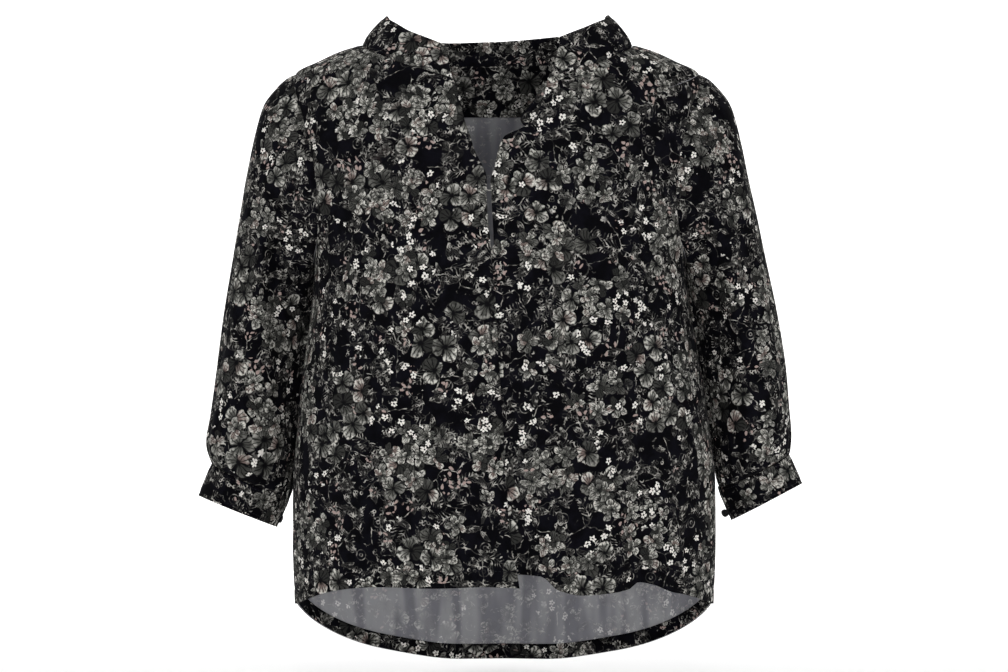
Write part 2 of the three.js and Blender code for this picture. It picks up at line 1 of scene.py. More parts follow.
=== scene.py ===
import math
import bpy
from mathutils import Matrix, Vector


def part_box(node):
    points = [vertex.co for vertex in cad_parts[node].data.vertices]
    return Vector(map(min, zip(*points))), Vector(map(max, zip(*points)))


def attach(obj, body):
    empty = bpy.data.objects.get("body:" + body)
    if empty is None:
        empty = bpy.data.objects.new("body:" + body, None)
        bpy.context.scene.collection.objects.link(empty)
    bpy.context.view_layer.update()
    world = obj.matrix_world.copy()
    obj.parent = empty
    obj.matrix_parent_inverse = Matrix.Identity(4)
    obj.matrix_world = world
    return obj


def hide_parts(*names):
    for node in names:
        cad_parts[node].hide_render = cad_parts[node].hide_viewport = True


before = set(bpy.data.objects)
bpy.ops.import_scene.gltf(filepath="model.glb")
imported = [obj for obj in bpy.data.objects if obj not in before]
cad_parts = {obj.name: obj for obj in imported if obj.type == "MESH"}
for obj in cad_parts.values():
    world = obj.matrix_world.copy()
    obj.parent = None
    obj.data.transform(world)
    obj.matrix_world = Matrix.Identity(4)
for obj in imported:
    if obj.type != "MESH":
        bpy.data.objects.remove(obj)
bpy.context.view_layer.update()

from types import SimpleNamespace
import bpy
import numpy as np
from mathutils import Matrix, Vector

# The blouse's own sizes are in millimetres. X runs to the wearer's left, Y to the back, Z up.
mm = 0.001
cloth = {
    "thick": 0.9, "seamGap": 0.06,
    "layerStep": 1.5,  # from one layer's outside to the next
    "pinchDepth": 0.7, "pinchWidth": 2.6,  # the dent along a seam or a row of stitches
    "seamBlend": 6,  # how far a sleeve's edge is bent to face as the body does
}


def readTable(table, key, column, place):
    # a column of a table between its rows, by a cubic that doesn't overshoot them
    keys = np.array([row[key] for row in table], float)
    values = np.array([row[column] for row in table], float)
    place = np.asarray(place, float)
    spans = np.diff(keys)
    slopes = np.diff(values) / spans
    tangents = np.zeros(len(keys))
    tangents[0], tangents[-1] = slopes[0], slopes[-1]
    product = slopes[:-1] * slopes[1:]
    total = slopes[:-1] + slopes[1:]
    tangents[1:-1] = np.where(product > 0, 2 * product / np.where(total == 0, 1, total), 0)
    i = np.clip(np.searchsorted(keys, place, side="right") - 1, 0, len(spans) - 1)
    t = (place - keys[i]) / spans[i]
    inside = values[i] * (1 - 3 * t**2 + 2 * t**3) + spans[i] * tangents[i] * t * (1 - t) ** 2
    inside = inside + values[i + 1] * (3 * t**2 - 2 * t**3) - spans[i] * tangents[i + 1] * t**2 * (1 - t)
    below = values[0] + tangents[0] * (place - keys[0])
    above = values[-1] + tangents[-1] * (place - keys[-1])
    return np.where(place < keys[0], below, np.where(place > keys[-1], above, inside))


def table(columns, *rows):
    # rows with named columns
    return [dict(zip(columns.split(), row)) for row in rows]


def readColumns(rows, place, columns):
    # several columns at once; the first column of a table is the one it is read by
    key = next(iter(rows[0]))
    return {column: readTable(rows, key, column, place) for column in columns.split()}


def rise(value, start, end):
    t = np.clip((np.asarray(value, float) - start) / (end - start), 0, 1)
    return t * t * (3 - 2 * t)


def mix(a, b, t):
    return a + (b - a) * t


def signedPower(value, power):
    return np.sign(value) * np.abs(value) ** power


def stack(x, y, z):
    return np.stack(np.broadcast_arrays(x, y, z), axis=-1).astype(float)


# Body: rounded sections level by level, and its folds in front view
bodyForm = {
    "power": 2.3,
    "levels": table(
        "z halfWidth front back sway",
        (-760, 233, 132, 117, 6),
        (-638, 240, 138, 121, 6),
        (-560, 242.5, 141, 123, 6),
        (-500, 242, 143, 124.5, 6),
        (-440, 236.5, 145, 126, 5),
        (-386, 230, 146, 127, 4),
        (-338, 223, 147, 128.5, 3),
        (-300, 217, 147.5, 129.5, 2),
        (-245, 213, 147, 130, 1),
        (-200, 221, 143, 129.5, -1),
        (-150, 233, 136, 127, -3),
        (-100, 241, 127, 121, -4),
        (-60, 241, 118.5, 112, -3),
        (-31, 230, 109, 103, -2),
        (-20, 208, 103, 98, -2),
        (-9, 184.5, 97, 92, -2),
        (0, 155, 91, 87, -2),
        (20, 89, 78, 76, -2),
    ),
    "hemReference": -600,
    "hemFolds": table(  # long waves that fade out upwards
        "face x slant width out top",
        ("left", 27, 0, 14, -12, -500),
        ("left", 106, 0.04, 32, 7, -330),
        ("left", 152, 0.05, 17, -9, -400),
        ("left", 184, 0.05, 20, 4, -400),
        ("right", -48, 0.02, 28, 4, -300),
        ("right", -98, -0.02, 24, -5, -280),
        ("right", -152, -0.04, 30, 5, -330),
        ("back", -128, -0.05, 28, 6, -230),
        ("back", -66, -0.03, 24, -6, -200),
        ("back", 6, 0, 30, 5, -180),
        ("back", 74, 0.03, 25, -6, -220),
        ("back", 134, 0.05, 28, 6, -240),
    ),
    "creases": table(  # soft troughs (minus) and ridges from one place to another
        "face from to bow width out",
        ("right", (-196, -236), (-128, -352), 10, 9, -3.2),
        ("right", (-199, -222), (-150, -292), 8, 8, 2.2),
        ("right", (-182, -60), (-193, -196), -9, 12, -2.4),
        ("right", (-72, -150), (-88, -330), 6, 15, -2.0),
        ("right", (-30, -300), (-22, -470), -4, 12, 1.8),
        ("right", (-176, -380), (-184, -560), 5, 11, -3.0),
        ("right", (-122, -420), (-126, -600), -4, 9, 2.0),
        ("right", (-66, -460), (-74, -606), 4, 8, -2.4),
        ("left", (198, -238), (138, -336), -9, 9, -3.0),
        ("left", (201, -220), (158, -276), -7, 7, 2.0),
        ("left", (184, -64), (192, -188), 9, 12, -2.4),
        ("left", (60, -86), (96, -134), 3, 5, -1.4),
        ("left", (52, -98), (80, -150), 3, 4, -1.1),
        ("left", (78, -160), (92, -350), -6, 15, -2.2),
        ("left", (20, -290), (34, -440), 5, 12, 1.6),
        ("left", (180, -350), (196, -540), -6, 11, -3.0),
        ("left", (70, -430), (76, -610), 3, 9, -2.0),
        ("back", (-196, -236), (-120, -360), 12, 10, -3.4),
        ("back", (197, -232), (118, -340), -12, 10, -3.2),
        ("back", (-150, -110), (-164, -240), -6, 12, -2.2),
        ("back", (148, -104), (160, -226), 6, 12, -2.2),
        ("back", (-40, -130), (-46, -420), 5, 13, -2.4),
        ("back", (34, -120), (42, -380), -4, 12, -2.2),
        ("back", (-98, -330), (-104, -660), 5, 12, 2.6),
        ("back", (102, -300), (110, -640), -5, 12, 2.6),
        ("back", (-172, -380), (-184, -640), -6, 11, -3.0),
        ("back", (168, -360), (182, -640), 6, 11, -3.0),
        ("back", (-14, -450), (-20, -712), 4, 9, -2.4),
    ),
    "lapDepth": 1.8, "lapFrom": 60, "lapTo": 15,  # the left front lies deeper under the lap
}


def creaseLift(creases, x, z):
    # how far the creases push the cloth out at a place, each fading towards its ends
    startWidth, widening, endPower = 0.8, 0.5, 0.8
    lift = np.zeros(np.broadcast(x, z).shape)
    for crease in creases:
        (x0, z0), (x1, z1) = crease["from"], crease["to"]
        length = math.hypot(x1 - x0, z1 - z0)
        ux, uz = (x1 - x0) / length, (z1 - z0) / length
        along = ((x - x0) * ux + (z - z0) * uz) / length
        aside = (x - x0) * uz - (z - z0) * ux
        aside = aside - crease["bow"] * 4 * along * (1 - along)
        width = crease["width"] * (startWidth + widening * np.clip(along, 0, 1))
        window = np.sin(np.pi * np.clip(along, 0, 1)) ** endPower
        lift = lift + crease["out"] * np.exp(-((aside / width) ** 2)) * window
    return lift


def bodyPoint(side, turn, z):
    # outward face: turn goes from the middle of the back (-90 degrees) over the side seam to the front (90)
    level = readColumns(bodyForm["levels"], z, "halfWidth front back sway")
    across = signedPower(np.cos(turn), 2 / bodyForm["power"])
    out = signedPower(np.sin(turn), 2 / bodyForm["power"])
    x = side * level["halfWidth"] * across + level["sway"]
    inFront = out > 0
    swell = 0
    for face, there in (("right" if side < 0 else "left", inFront), ("back", ~inFront)):
        lift = np.zeros(np.broadcast(x, z).shape)
        for fold in bodyForm["hemFolds"]:
            if fold["face"] == face:
                aside = x - fold["x"] - fold["slant"] * (z - bodyForm["hemReference"])
                fade = 1 - rise(z, bodyForm["hemReference"], fold["top"])
                lift = lift + fold["out"] * np.exp(-((aside / fold["width"]) ** 2)) * fade
        lift = lift + creaseLift([c for c in bodyForm["creases"] if c["face"] == face], x, z)
        swell = swell + np.where(there, lift, 0)
    under = bodyForm["lapDepth"] * (1 - rise(x, bodyForm["lapTo"], bodyForm["lapFrom"]))
    lap = np.where(inFront & (side > 0), under, 0)
    y = -np.where(inFront, level["front"], level["back"]) * out - np.sign(out) * swell * np.abs(out) + lap
    return stack(x, y, z)


def unit(vectors):
    return vectors / np.linalg.norm(vectors, axis=-1, keepdims=True)


def bodyNormal(side, turn, z):
    turnStep, levelStep, middleTop = 0.02, 1, -150
    alongTurn = bodyPoint(side, turn + turnStep, z) - bodyPoint(side, turn - turnStep, z)
    alongZ = bodyPoint(side, turn, z + levelStep) - bodyPoint(side, turn, z - levelStep)
    normal = unit(np.cross(alongTurn, alongZ))
    middle = stack(0, 0, np.minimum(z, middleTop))
    facing = np.sum(normal * (bodyPoint(side, turn, z) - middle), axis=-1, keepdims=True)
    return np.where(facing < 0, -normal, normal)


def bodyPlace(side, turn, z, inwards=0, forward=0):
    # a place on the body or on a layer inside it; forward is 1 on a front and -1 on the back
    turn, z = np.broadcast_arrays(np.asarray(turn, float), np.asarray(z, float))
    point = bodyPoint(side, turn, z)
    if inwards:
        point = point - bodyNormal(side, turn, z) * inwards
    point[..., 1] -= forward * cloth["seamGap"] / 2
    return point


def turnAt(side, x, z):
    sway = readTable(bodyForm["levels"], "z", "sway", z)
    share = side * (x - sway) / readTable(bodyForm["levels"], "z", "halfWidth", z)
    return np.arccos(signedPower(np.clip(share, -1, 1), bodyForm["power"] / 2))


# Panels: where each front ends at the middle, the neck, the hems and the armholes
panelCut = {
    "rightEdge": table(
        "z x",
        (-640, 26), (-608, 23), (-540, 11.5), (-430, 4.7), (-340, -0.8), (-287, -4), (-233, -8.8),
        (-184, -12.8), (-159, -13.1), (-143, -19.5), (-130, -26), (-114, -31), (-93, -38), (-65, -44),
        (-48, -51),
    ),
    "leftEdge": table(
        "z x",
        (-640, -4), (-590, 0), (-540, -15), (-430, -25), (-270, -30), (-250, -24), (-233, -5.6),
        (-184, -7.9), (-165, -9), (-146, -4), (-131, -1), (-114, 6), (-104, 26), (-93, 41), (-68, 49.5),
        (-48, 54),
    ),
    "leftHemWave": table(
        "x rise",
        (0, 14), (46, 13), (65, -3), (92, -9), (125, -7), (143, -3), (154, 7), (168, 6), (195, -2),
        (240, 0),
    ),
    "rightHemWave": table(
        "x rise",
        (-240, 0), (-150, 1.5), (-90, -1.5), (-20, 1.2), (40, -1),
    ),
    "hemTurn": 18, "sideHem": -638, "shoulderTip": -31, "underarm": -245, "armholeScoop": 0.132,
    "neckFront": -48, "neckFrontBend": 2.3, "neckBack": -13, "neckBackBend": 1.3,
    "bodyRows": 10, "armholeRows": 10, "shoulderRows": 3,
    "frontGroups": table(
        "row middle early late",
        (0, -606, 2.1, 6.5), (1, -588, 2.1, 6.5), (10, -236, 1, 1), (20, -100, 1.4, 1),
        (23, -48, 2.3, 1),
    ),
    "backGroups": table(
        "row middle early late",
        (0, -721, 1.3, 2.3), (1, -703, 1.3, 2.3), (10, -245, 1, 1), (20, -69, 1.3, 2.5),
        (23, -13, 1.3, 1),
    ),
    "columns": {"front": 78, "back": 138},
}
rowSteps = ((0, 1, 6), (1, 10, 100), (10, 20, 60), (20, 23, 22))  # hem, body, armhole and shoulder
fineRows = np.unique(np.concatenate([np.linspace(low, high, steps + 1) for low, high, steps in rowSteps]))


def armholePlace(angle):
    # angle 0 at the shoulder tip, pi at the underarm, the front first
    z = mix(panelCut["shoulderTip"], panelCut["underarm"], (1 - np.cos(angle)) / 2)
    share = 1 - panelCut["armholeScoop"] * np.sin(angle) ** 2
    turn = np.arccos(np.minimum(1, share ** (bodyForm["power"] / 2)))
    return z, np.where(np.sin(angle) < 0, -turn, turn)


def panelEdge(row, face):
    # outer boundary of a panel: side seam, armhole, then shoulder seam
    row = np.asarray(row, float)
    bodyRows, armRows, topRows = panelCut["bodyRows"], panelCut["armholeRows"], panelCut["shoulderRows"]
    foot = panelCut["sideHem"] + panelCut["hemTurn"]
    lowZ = panelCut["sideHem"] + row * panelCut["hemTurn"]
    sideZ = mix(foot, panelCut["underarm"], (row - 1) / (bodyRows - 1))
    armZ, armTurn = armholePlace(np.pi * (1 - np.clip((row - bodyRows) / armRows, 0, 1)))
    topZ = mix(panelCut["shoulderTip"], 0, (row - bodyRows - armRows) / topRows)
    z = np.select([row <= 1, row <= bodyRows, row < bodyRows + armRows], [lowZ, sideZ, armZ], topZ)
    byArmhole = (row > bodyRows) & (row < bodyRows + armRows)
    return np.where(byArmhole, face * np.abs(armTurn), 0), z


def heightAcross(groups, row, edgeZ, share):
    rows = [group["row"] for group in groups]
    middle, early, late = (np.interp(row, rows, [g[c] for g in groups]) for c in ("middle", "early", "late"))
    return mix(edgeZ, middle, 1 - (1 - share**early) ** late), middle


def frontPlace(side, share, row, inwards=0):
    # share runs from the outer boundary (0) to the middle edge (1)
    edgeTurn, edgeZ = panelEdge(row, 1)
    z, middleZ = heightAcross(panelCut["frontGroups"], row, edgeZ, share)
    edge = panelCut["rightEdge" if side < 0 else "leftEdge"]
    turn = mix(edgeTurn, turnAt(side, readTable(edge, "z", "x", middleZ), middleZ), share)
    wave = panelCut["rightHemWave" if side < 0 else "leftHemWave"]
    fade = np.maximum(0, 1 - row / panelCut["bodyRows"]) ** 3
    z = z + fade * np.sqrt(share) * readTable(wave, "x", "rise", bodyPoint(side, turn, z)[..., 0])
    return bodyPlace(side, turn, z, inwards, 1)


def backPlace(share, row, inwards=0):
    # share runs from the wearer's right (-1) over the middle (0) to the left (1)
    share, row = np.broadcast_arrays(np.asarray(share, float), np.asarray(row, float))
    edgeTurn, edgeZ = panelEdge(row, -1)
    toMiddle = 1 - np.abs(share)
    z, _ = heightAcross(panelCut["backGroups"], row, edgeZ, toMiddle)
    turn = mix(edgeTurn, -np.pi / 2, toMiddle)
    right = bodyPlace(-1, turn, z, inwards, -1)
    left = bodyPlace(1, turn, z, inwards, -1)
    return np.where(share[..., None] < 0, right, left)


# Sleeves: rings fanning from the armhole to the cuff, long folds, and gathers into the cuff
sleeveForm = {
    "rings": table(
        "along outX outZ inZ clear depth back seam sway",
        (0, 230, -31, -245, 0, 78, 0, 1, -2),
        (0.05, 242, -37, -249, 0.8, 78.5, 2, 0.93, -2),
        (0.11, 255, -49, -255, 1, 78.5, 4, 0.8, -2),
        (0.18, 268, -66, -264, 1.1, 78, 6, 0.6, -2.3),
        (0.26, 278.5, -99, -278, 1.1, 76.5, 8, 0.38, -2.3),
        (0.35, 288.5, -146, -297, 1.1, 75, 9.5, 0.18, -2.3),
        (0.45, 297.5, -192, -322, 1.1, 73, 11, 0.05, -1),
        (0.56, 307.5, -245, -354, 1.1, 70.5, 12, 0, 0),
        (0.67, 318.5, -302, -390, 1.1, 68, 13, 0, 1.3),
        (0.78, 328, -365, -428, 1.2, 66, 14, 0, 2.3),
        (0.88, 333.8, -415, -464, 1.3, 64, 15, 0, 1),
        (0.95, 337.7, -450, -495, 2.2, 59, 15.5, 0, -0.7),
        (1, 334, -473, -512, 6, 46, 15.5, 0, 1.5),
    ),
    "skew": 5.5,
    "folds": table(  # angle in degrees: 0 outside, 90 front, 180 beside the body
        "angle lean width out from to",
        (62, 6, 13, -5.5, 0.08, 0.84),
        (84, -4, 10, 3, 0.16, 0.7),
        (104, 8, 10, -4.5, 0.3, 0.96),
        (134, -6, 13, -2.5, 0.08, 0.86),
        (156, 3, 12, -1.5, 0.12, 0.94),
        (34, -5, 9, -2.6, 0.5, 0.97),
        (20, 6, 12, -2.2, 0.1, 0.5),
        (214, 5, 11, -4, 0.2, 0.8),
        (236, -6, 12, -5, 0.3, 0.95),
        (262, 4, 10, 3, 0.15, 0.75),
        (292, 6, 13, -4.5, 0.15, 0.9),
        (328, -4, 10, -2.6, 0.45, 0.95),
    ),
    "hollows": table(  # down the front beside the body: the angle it sinks from and its depth
        "along edgeRight deepRight edgeLeft deepLeft",
        (0, 112, 0, 122, 0),
        (0.08, 106, 1.5, 118, 1.5),
        (0.2, 86, 11, 106, 9),
        (0.34, 78, 18, 103, 16),
        (0.5, 93, 19, 107, 17),
        (0.66, 112, 16, 115, 15),
        (0.82, 134, 10, 129, 9),
        (0.94, 150, 1, 146, 1),
        (1, 152, 0, 150, 0),
    ),
    "hollowSoftness": 13, "hollowEnd": 158,
    "gathers": 20, "gatherHeight": 1.8, "gatherFrom": 0.82, "gatherTo": 0.97, "gatherDrift": (1.1, 0.7),
    "foldWander": 3,  # degrees that a fold wanders to each side
    "steps": 130, "columns": 150,
}


def sleeveRing(side, angle, along):
    ring = readColumns(sleeveForm["rings"], along, "outX outZ inZ clear depth back sway")
    inSway = readTable(bodyForm["levels"], "z", "sway", ring["inZ"])
    inX = readTable(bodyForm["levels"], "z", "halfWidth", ring["inZ"]) + ring["clear"]
    outer = stack(side * ring["outX"] + ring["sway"], ring["back"], ring["outZ"])
    inner = stack(side * inX + inSway, ring["back"], ring["inZ"])
    point = mix(inner, outer, ((1 + np.cos(angle)) / 2)[..., None])
    point[..., 1] -= ring["depth"] * np.sin(angle)
    point[..., 2] += side * sleeveForm["skew"] * np.clip(along, 0, 1) ** 2
    return point


def sleeveMiddle(side, along):
    along = np.asarray(along, float)
    outer, inner = (sleeveRing(side, np.full_like(along, angle), along) for angle in (0, np.pi))
    return (outer + inner) / 2


def sleevePoint(side, angle, along):
    whole = np.mod(angle, 2 * np.pi)
    point = sleeveRing(side, whole, along)
    armZ, armTurn = armholePlace(whole)
    seam = np.clip(readTable(sleeveForm["rings"], "along", "seam", along), 0, 1)[..., None]
    point = point + seam * (bodyPoint(side, armTurn, armZ) - sleeveRing(side, whole, np.zeros_like(along)))
    swell = np.zeros(whole.shape)
    degrees = np.degrees(whole)
    for number, fold in enumerate(sleeveForm["folds"]):
        middle, half = (fold["from"] + fold["to"]) / 2, (fold["to"] - fold["from"]) / 2
        wander = sleeveForm["foldWander"] * np.sin(7 * along + number + (side > 0))
        aside = degrees - fold["angle"] - side * 3 - fold["lean"] * (along - middle) / half - wander
        window = 1 - rise(np.abs(along - middle), 0, half)
        swell += fold["out"] * np.exp(-((aside / fold["width"]) ** 2)) * window
    slow, quick = sleeveForm["gatherDrift"]
    phase = sleeveForm["gathers"] * whole + slow * np.sin(2 * whole + side) + quick * np.sin(5 * whole)
    uneven = 0.75 + 0.25 * np.sin(3 * whole + 2 * side)
    reach = rise(along, sleeveForm["gatherFrom"] + 0.06 * np.sin(4.3 * whole + 1), sleeveForm["gatherTo"])
    swell += sleeveForm["gatherHeight"] * (np.cos(phase) * uneven - 0.25) * reach
    point = point + unit(point - sleeveMiddle(side, along)) * swell[..., None]
    point[..., 0] += side * cloth["seamGap"]
    name = "Right" if side < 0 else "Left"
    edge, deep = readColumns(sleeveForm["hollows"], along, f"edge{name} deep{name}").values()
    sinking = rise(degrees - edge, -sleeveForm["hollowSoftness"], sleeveForm["hollowSoftness"])
    point[..., 1] += deep * sinking * (1 - rise(degrees, sleeveForm["hollowEnd"], 180))
    return point


# Cuffs: a band whose buttoned end laps over its other end
cuffForm = {
    "width": 39, "thick": 1.7, "seamDrop": 0.6,
    "spread": (16, -37),  # the way it falls, across and down
    "frontRise": 7, "tilt": 1.5, "taper": 0.4, "ripple": 0.35,
    "lapStep": 2.1, "lapSpan": 60,
    "ends": {
        "right": {"under": 224, "top": 191, "button": 200, "buttonTilt": 0},
        "left": {"under": 200, "top": 167, "button": 176, "buttonTilt": 28},
    },
    "buttonDown": 0.74, "columns": 170, "rows": 16,
}


def cuffFall(side):
    return unit(np.array([side * cuffForm["spread"][0], 0, cuffForm["spread"][1]], float))


def cuffPoint(side, degrees, down):
    angle = np.radians(degrees)
    one = np.ones_like(angle)
    point = sleeveRing(side, angle, one)
    outward = unit(point - sleeveMiddle(side, one))
    under = cuffForm["ends"]["right" if side < 0 else "left"]["under"] - 360
    overlap = 1 - rise(degrees, under, under + cuffForm["lapSpan"])
    phase = sleeveForm["gathers"] * angle + sleeveForm["gatherDrift"][0] * np.sin(2 * angle)
    ripple = cuffForm["ripple"] * np.cos(phase) * (1 - down) ** 2
    out = overlap * cuffForm["lapStep"] - cuffForm["taper"] * down + ripple
    point = point + outward * out[..., None]
    point = point + cuffFall(side) * (cuffForm["width"] * down + cuffForm["seamDrop"])[..., None]
    lift = cuffForm["frontRise"] * np.sin(angle) + side * cuffForm["tilt"] * np.cos(angle)
    point[..., 2] += lift * down
    point[..., 0] += side * cloth["seamGap"]
    return point


# Stand collar: height and inward lean from the middle of the back to its front ends
collarForm = {
    "shape": table(
        "turn rise skew lean",
        (-90, 31, 0, 8), (-68, 28.5, 3.5, 11), (-35, 34, 3, 20), (0, 33.5, 0.5, 30), (45, 36, 1, 25.5),
        (64, 37.5, 3, 20), (80, 35.5, 3, 17),
    ),
    "slantRight": 0.018, "slantLeft": 0.035,  # how far the front ends lean back at the top
    "swell": 3, "wave": 0.5, "wavePitch": 0.11, "thick": 1.7, "columns": 260, "rows": 16,
}


def neckTurn(side):
    edge = panelCut["rightEdge" if side < 0 else "leftEdge"]
    return float(turnAt(side, readTable(edge, "z", "x", panelCut["neckFront"]), panelCut["neckFront"]))


def neckHeight(side, turn):
    front = panelCut["neckFront"] * np.clip(turn / neckTurn(side), 0, None) ** panelCut["neckFrontBend"]
    back = panelCut["neckBack"] * np.clip(-turn / (np.pi / 2), 0, None) ** panelCut["neckBackBend"]
    return np.where(turn > 0, front, back)


def collarPoint(station, height):
    station, height = np.broadcast_arrays(np.asarray(station, float), np.asarray(height, float))
    sides = []
    for side, slant in ((-1, collarForm["slantRight"]), (1, collarForm["slantLeft"])):
        turn = mix(-np.pi / 2, neckTurn(side), np.abs(station) * (1 - slant * height))
        base = bodyPoint(side, turn, neckHeight(side, turn))
        degrees = np.degrees(turn)
        inward = unit(-base * (1, 1, 0))
        shape = readColumns(collarForm["shape"], degrees, "lean rise skew")
        wave = collarForm["wave"] * np.sin(collarForm["wavePitch"] * degrees * side + 1) * height
        lean = shape["lean"] * height - collarForm["swell"] * 4 * height * (1 - height) + wave
        point = base + inward * lean[..., None]
        point[..., 2] += cloth["seamGap"] + (shape["rise"] + side * shape["skew"]) * height
        sides.append(point)
    return np.where(station[..., None] < 0, sides[0], sides[1])


# Cloth materials: the print is drawn by nodes on UVs that are real metres of flat cloth
drawing = {}  # the node tree of the material being made


class Signal:
    # an output of a node, on which sums are written as usual
    def __init__(self, socket):
        self.socket = socket

    def __add__(self, other):
        return calc("ADD", self, other)

    def __sub__(self, other):
        return calc("SUBTRACT", self, other)

    def __rsub__(self, other):
        return calc("SUBTRACT", other, self)

    def __mul__(self, other):
        return calc("MULTIPLY", self, other)

    def __truediv__(self, other):
        return calc("DIVIDE", self, other)

    def __abs__(self):
        return calc("ABSOLUTE", self)


def linear(code, shade=1.0):
    # an sRGB hex code in linear light
    values = [int(code[i:i + 2], 16) / 255 for i in (1, 3, 5)]
    return [(v / 12.92 if v <= 0.04045 else ((v + 0.055) / 1.055) ** 2.4) * shade for v in values] + [1.0]


def addNode(kind, inputs=None, **settings):
    # adds a node and gives its outputs; an input is a value, a hex code or another node's output
    node = drawing["tree"].nodes.new("ShaderNode" + kind)
    for name, value in settings.items():
        setattr(node, name, value)
    for name, value in (inputs or {}).items():
        if isinstance(value, Signal):
            drawing["tree"].links.new(value.socket, node.inputs[name])
        else:
            node.inputs[name].default_value = linear(value) if isinstance(value, str) else value
    return [Signal(output) for output in node.outputs]


def newMaterial(name):
    material = bpy.data.materials.new(name)
    material.use_nodes = True
    drawing["tree"] = material.node_tree
    drawing["tree"].nodes.clear()
    return material


def finishMaterial(inputs):
    addNode("OutputMaterial", {"Surface": addNode("BsdfPrincipled", inputs)[0]})


def calc(operation, *values):
    return addNode("Math", dict(enumerate(values)), operation=operation)[0]


def vector(operation, a, b):
    return addNode("VectorMath", {0: a, 1: b}, operation=operation)[0]


def scaled(place, factor):
    return addNode("VectorMath", {0: place, "Scale": factor}, operation="SCALE")[0]


def larger(*values):
    return values[0] if len(values) == 1 else calc("MAXIMUM", larger(*values[:-1]), values[-1])


def fade(value, start, end):
    inputs = {"Value": value, "From Min": start, "From Max": end}
    return addNode("MapRange", inputs, interpolation_type="SMOOTHSTEP")[0]


def paint(factor, below, above):
    return addNode("Mix", {0: factor, 6: below, 7: above}, data_type="RGBA", blend_type="MIX")[2]


def cloud(place, scale, detail=0.0):
    return addNode("TexNoise", {"Vector": place, "Scale": scale, "Detail": detail}, noise_dimensions="2D")[0]


def motifCells(point, spacing, shift, jitter=0.85):
    # one motif to a cell: its place from the cell's middle, turned at random, and three random numbers
    moved = vector("ADD", point, (shift, 1.7 * shift, 0))
    inputs = {"Vector": moved, "Scale": 1 / spacing, "Randomness": jitter}
    _, colour, middle, *_ = addNode("TexVoronoi", inputs, voronoi_dimensions="2D")
    offset = vector("SUBTRACT", moved, middle)
    random = addNode("SeparateColor", {0: colour})
    spin = {"Vector": offset, "Angle": random[0] * (2 * math.pi)}
    x, y, _ = addNode("SeparateXYZ", {0: addNode("VectorRotate", spin, rotation_type="Z_AXIS")[0]})
    radius = addNode("VectorMath", {0: offset}, operation="LENGTH")[1]
    return SimpleNamespace(x=x, y=y, middle=middle, random=random, radius=radius, angle=calc("ARCTAN2", y, x))


def petals(radius, angle, count, size, waist):
    # a ring of petals: 1 inside it, its reach from the middle (0) to the edge (1), and 0 between petals
    wave = abs(calc("COSINE", angle * (count / 2)))
    edge = calc("POWER", wave, 0.55) * (1 - waist) + waist
    reach = radius / (edge * size)
    return fade(reach, 1.03, 0.95), reach, wave


# Motifs in millimetres of flat cloth. A pair is a fade: "drawn" over a motif's random number, "patches",
# "ground" and "lines" over a soft noise, the others over a distance; but the disc's radii are two rings.
# A layer is spacing, shift and strength, for stars the noise that they start at.
printPlan = {
    "ground": (0.4, 0.65), "lines": (0.44, 0.76), "wobble": 6.0,
    "disc": {"spacing": 42, "radii": (5.6, 1.8), "line": (0.7, 0.3), "drawn": (0.45, 0.5), "strength": 0.6},
    "stroke": {
        "spacing": 7.2, "curl": 0.13, "width": (0.85, 0.4), "length": (2.9, 2.2), "drawn": (0.55, 0.58),
        "patches": (0.47, 0.52),
    },
    "berry": {"spacing": 5.6, "radius": 1.6, "line": (0.75, 0.35), "patches": (0.655, 0.675)},
    "leaf": {
        "layers": ((27, 31.0, 0.9), (18.9, 77.0, 0.8)), "length": 0.42, "belly": 0.4, "rim": (1.2, 0.7),
        "slant": 0.8, "veinPitch": 1.5, "vein": (0.75, 0.35), "middle": (0.65, 0.3), "drawn": (0.62, 0.64),
    },
    "fern": {
        "layers": ((38, 11.0, 1.0), (27.36, 53.0, 0.8)), "length": 0.47, "bend": 0.45, "belly": 0.5,
        "slant": -0.8, "pitch": 2.1, "stroke": (0.8, 0.45), "stem": (0.6, 0.3), "drawn": (0.34, 0.37),
    },
    "stem": {"spacing": 33, "line": (0.02, 0.009), "patches": (0.46, 0.52)},
    "bud": {"spacing": 7.5, "narrow": 1.8, "edge": (2.9, 2.3), "patches": (0.68, 0.70)},
    "cluster": {"spacing": 106, "radius": 27, "ragged": 13.0, "edge": (9.5, 8.5)},
    "florets": table(  # the ribbed lobes under the blossoms, then small and large blossoms
        "spacing shift spread petals size waist clusterShift",
        (25, 171.0, 1.05, 3, 16.5, 0.42, 24.0),
        (18.7, 61.0, 0.12, 4, 11.73, 0.3, 80.0),
        (22, 5.0, 1.0, 5, 13.8, 0.3, 24.0),
    ),
    "star": {
        "layers": ((22, 23.0, 0.55), (16.5, 41.0, 0.60)), "size": 3.9, "waist": 0.22, "drawn": (0.44, 0.47),
        "halo": (5.4, 4.6), "eye": (1.3, 0.9),
    },
}
rightSide = {
    "ground": "#060609", "groundLight": "#0c0c12", "petalDark": "#0e0e10", "petal": "#52524e",
    "petalLight": "#d8d6ce", "warm": "#776964", "line": "#bdbab3", "lineDim": "#333231", "leaf": "#101012",
    "star": "#e9e6e0", "starEye": "#0c0c0e", "bud": "#a8958f", "ghost": 0.0,
}
wrongSide = dict(  # the reverse is pale; its soft streaks down the cloth are painted light and shade of vertical folds
    rightSide, ground="#36373c", groundLight="#404146", ghost=0.5, paleFoldShade="#b0b0b8", paleFoldLight="#e0e0e4",
)


